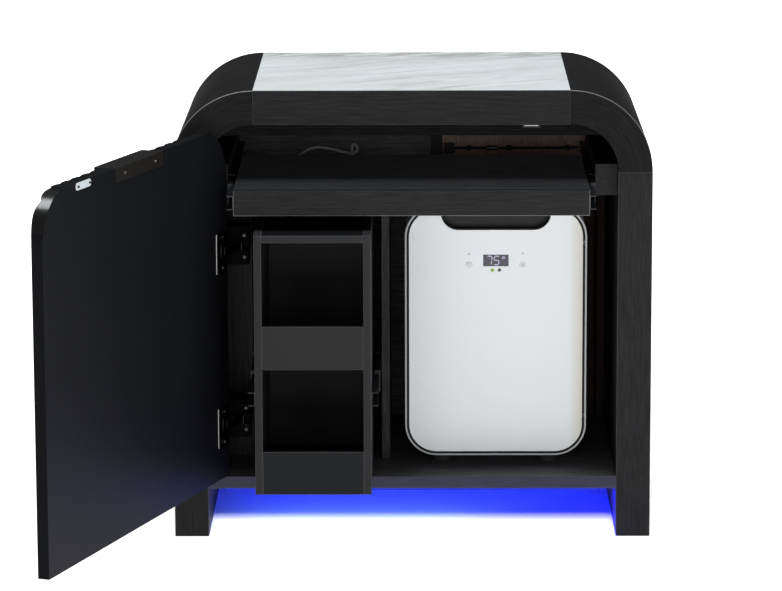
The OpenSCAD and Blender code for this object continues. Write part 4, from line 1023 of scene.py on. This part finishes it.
def dressStrip():
    low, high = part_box("led_strip")
    length = high.x - low.x
    y = (low.y + high.y) / 2
    pitch, tape = stripLook["pitch"], stripLook["tape"]
    count = int(length / pitch)
    mesh = rowTree().baked("stripChips", {
        "Count": count, "Start": (-(count - 1) / 2 * pitch, y, high.z - tape - stripLook["chip"][2] / 2),
        "Step": (pitch, 0, 0), "Size": stripLook["chip"], "Dome": stripLook["dome"],
        "Material": finish["blueChip"]})
    addPiece("stripChips", mesh, "cabinet", ("led_strip",))
    addBlock("stripTape", Vector((0, y, high.z - tape / 2)), Vector((length, high.y - low.y, tape)),
             stripLook["tapeEase"], "cabinet", "tapeWhite")


leadLoop = {
    "radius": 0.0022,
    "near": 0.0025,      # the lead's middle in front of the panel
    "over": 0.0072,      # and where it lies over itself
    # places along the panel and up, from the joint strip to the left leg, 1 where it lies over itself
    "route": ((0.0295, 0.492, 0), (-0.020, 0.488, 0), (-0.060, 0.487, 0), (-0.084, 0.490, 0),
              (-0.091, 0.498, 0), (-0.093, 0.509, 0), (-0.094, 0.520, 0), (-0.090, 0.524, 0),
              (-0.085, 0.520, 1), (-0.085, 0.512, 1), (-0.093, 0.508, 1), (-0.115, 0.5125, 0),
              (-0.137, 0.518, 0), (-0.153, 0.518, 0), (-0.168, 0.512, 0), (-0.182, 0.500, 0),
              (-0.205, 0.490, 0), (-0.250, 0.487, 0), (-0.2995, 0.487, 0)),
}


def dressLead():
    # a lead along the left back panel, its slack shows above the tray; its pale grey is a painted highlight
    curve = bpy.data.curves.new("leadLoop", "CURVE")
    curve.dimensions = "3D"
    curve.bevel_depth = leadLoop["radius"]
    curve.bevel_resolution = 2
    curve.use_fill_caps = True
    spline = curve.splines.new("NURBS")
    spline.points.add(len(leadLoop["route"]) - 1)
    for point, (along, up, over) in zip(spline.points, leadLoop["route"]):
        point.co = (along, backInside - leadLoop["over" if over else "near"], up, 1)
    spline.order_u = 3
    spline.use_endpoint_u = True
    spline.resolution_u = 5
    mesh = evaluatedMesh(helperOf(curve), "leadLoop")
    mesh.shade_smooth()
    addPiece("leadLoop", mesh, "cabinet", (), ("loopPlastic",))


figures = {
    "height": 0.0128,
    "width": 0.0072,
    "stroke": 0.0014,
    "gap": 0.25,            # of the stroke, left free at both ends of a bar
    "slant": 0.10,
    "firstAt": -0.0098,     # from the window's middle
    "pitch": 0.0108,
    "shown": ("abc", "acdfg"),
    "degree": (0.0112, 0.0040, 0.0021, 0.0011),    # aside, up, outer and inner radius
    "behind": 0.00005,      # the panel's front
    "depth": 0.00014,
}
segmentEnds = {
    "a": ((0, 1), (1, 1)), "b": ((1, 1), (1, 0.5)), "c": ((1, 0.5), (1, 0)), "d": ((0, 0), (1, 0)),
    "e": ((0, 0.5), (0, 0)), "f": ((0, 1), (0, 0.5)), "g": ((0, 0.5), (1, 0.5)),
}


def flatPlates(name, outlines, front, depth, body, material):
    # thin plates with the given XZ outlines, their faces towards the front
    shape = bmesh.new()
    for outline in outlines:
        face = shape.faces.new([shape.verts.new((x, front + depth, z)) for x, z in outline])
        pushed = bmesh.ops.extrude_face_region(shape, geom=[face])
        for item in pushed["geom"]:
            if isinstance(item, bmesh.types.BMVert):
                item.co.y -= depth
    bmesh.ops.recalc_face_normals(shape, faces=shape.faces)
    addPiece(name, meshOf(shape, name), body, (), (material,))


def ringOutlines(x, z, outer, inner, parts=24):
    quads = []
    for k in range(parts):
        a, b = (2 * math.pi * (k + d) / parts for d in (0, 1))
        quads.append([(x + r * math.cos(t), z + r * math.sin(t))
                      for r, t in ((outer, a), (outer, b), (inner, b), (inner, a))])
    return quads


def figureOutlines(midX, midZ):
    w, h, s = figures["width"], figures["height"], figures["stroke"]
    outlines = []
    for place, lit in enumerate(figures["shown"]):
        corner = Vector((midX + figures["firstAt"] + place * figures["pitch"] - w / 2, midZ - h / 2))
        for key in lit:
            a, b = (corner + Vector((across * w, up * h)) for across, up in segmentEnds[key])
            along = (b - a).normalized()
            across = Vector((-along.y, along.x)) * s / 2
            a, b = a + along * s * figures["gap"], b - along * s * figures["gap"]
            inA, inB = a + along * s / 2, b - along * s / 2
            points = [a, inA + across, inB + across, b, inB - across, inA - across]
            outlines.append([(p.x + (p.y - midZ) * figures["slant"], p.y) for p in points])
    side, up, outer, inner = figures["degree"]
    return outlines + ringOutlines(midX + side, midZ + up, outer, inner)


displayLook = {
    "windowHeight": 0.017,
    "windowEase": 0.0005,
    "windowBehind": 0.0002,     # the panel's front
    "lensRadius": 0.0026,
    "lensFlat": 0.8,
    "lensBehind": 0.0018,
    "lenses": {"leftStatusLight": (-0.0052, "greenLens"), "rightStatusLight": (0.0052, "darkLens")},
}
keyLook = {
    "ring": (0.0024, 0.0018),
    "dot": (0.0009, 0.0004),
    "bar": (0.0003, 0.0010, 0.0032),     # half width, foot and top from the key's middle
    "markUp": 0.0170,
    "markSize": (0.0019, 0.0015),        # half width and half height
    "proud": 0.00008,
    "depth": 0.0001,
}


def dressDisplay():
    low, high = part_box("display_module")
    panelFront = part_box("fridge_door_panel")[0].y
    midX = (low.x + high.x) / 2
    windowHeight = displayLook["windowHeight"]
    midZ = high.z - windowHeight / 2
    flatPlates("displayFigures", figureOutlines(midX, midZ), panelFront + figures["behind"], figures["depth"],
               "fridge_door", "figureGlow")
    windowFront = panelFront + displayLook["windowBehind"]
    depth = high.y - windowFront
    addBlock("displayWindow", Vector((midX, windowFront + depth / 2, midZ)),
             Vector((high.x - low.x, depth, windowHeight)), displayLook["windowEase"],
             "fridge_door", "windowSmoke", ("display_module",))
    radius = displayLook["lensRadius"]
    for name, (x, material) in displayLook["lenses"].items():
        lens = bmesh.new()
        place = Matrix.Translation((midX + x, panelFront + displayLook["lensBehind"], low.z + radius))
        bmesh.ops.create_uvsphere(lens, u_segments=24, v_segments=12, radius=radius,
                                  matrix=place @ Matrix.Diagonal((1, displayLook["lensFlat"], 1, 1)))
        mesh = meshOf(lens, name)
        mesh.shade_smooth()
        addPiece(name, mesh, "fridge_door", (), (material,))


def dressKeys():
    # a round sign on each key, a bar or a dot in it, and a small triangle above
    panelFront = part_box("fridge_door_panel")[0].y
    proud, depth = keyLook["proud"], keyLook["depth"]
    for key, up in (("left_key", 1), ("right_key", -1)):
        low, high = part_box(key)
        x, z = (low.x + high.x) / 2, (low.z + high.z) / 2
        icon = ringOutlines(x, z, *keyLook["ring"])
        if up > 0:
            half, foot, top = keyLook["bar"]
            icon += [[(x - half, z + foot), (x + half, z + foot), (x + half, z + top), (x - half, z + top)]]
        else:
            icon += ringOutlines(x, z, *keyLook["dot"], 12)
        flatPlates(key + "Icon", icon, low.y - proud, depth, key, "iconGrey")
        markZ = z + keyLook["markUp"]
        half, tall = keyLook["markSize"]
        mark = [(x - half, markZ - up * tall), (x + half, markZ - up * tall), (x, markZ + up * tall)]
        flatPlates(key + "Mark", [mark], panelFront - proud, depth, "fridge_door", "iconGrey")


rimLook = {
    "depth": 0.0075,         # of the groove between rim and panel
    "frontSkin": 0.0008,
    "facing": -0.35,         # the rim's front faces look at least so far forwards
    "flat": 0.9,
}


def dressRefrigerator():
    softened("fridge_door_panel", ("panelWhite",), steps=3)
    low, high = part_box("fridge_door_frame")
    middle = (low + high) / 2

    def ringFaces(face):
        # pale rim in front, black groove between rim and panel, grey sides
        if face.center.y > low.y + rimLook["depth"]:
            return 0
        out = Vector((face.center.x - middle.x, 0, face.center.z - middle.z))
        if face.normal.y < rimLook["facing"] and face.center.y < low.y + rimLook["frontSkin"]:
            return 2
        return 0 if face.normal.dot(out) > 0 and abs(face.normal.y) < rimLook["flat"] else 1
    softened("fridge_door_frame", ("greyPlastic", "grooveBlack", "ringPlastic"), "metal",
             repaint=ringFaces)
    softened("fridge_shell", ("greyPlastic",), "shell", 3)
    dressDisplay()
    dressKeys()


makeCamera()
makeLamps()
dressNodes()
print("camera, lamps and finishes made")
dressFrame()
dressCatch()
dressScrews()
print("frame dressed")
dressDoor()
dressTray()
dressRack()
dressStrip()
dressLead()
print("door, tray, rack and light strip dressed")
dressRefrigerator()
print("refrigerator dressed")

floorHalf = 30
floorCorners = [(x * floorHalf, y * floorHalf, 0) for x, y in ((-1, -1), (1, -1), (1, 1), (-1, 1))]
floorMesh = meshFrom("floor", floorCorners, [(0, 1, 2, 3)])
floorMesh.materials.append(finish["paleFloor"])
floor = bpy.data.objects.new("floor", floorMesh)
scene.collection.objects.link(floor)
reached["floor"].objects.link(floor)
shading = ("fridge_shell", "left_leg", "right_leg", "bottom_board", "left_filler", "divider", "back_panel",
           "apron", "Corner")
for thing in scene.objects:
    if thing.type == "MESH" and thing != floor:
        reached["object"].objects.link(thing)
        if "tray_board" in thing.name:
            reached["tray"].objects.link(thing)
        if any(word in thing.name for word in shading):
            floorShade.objects.link(thing)
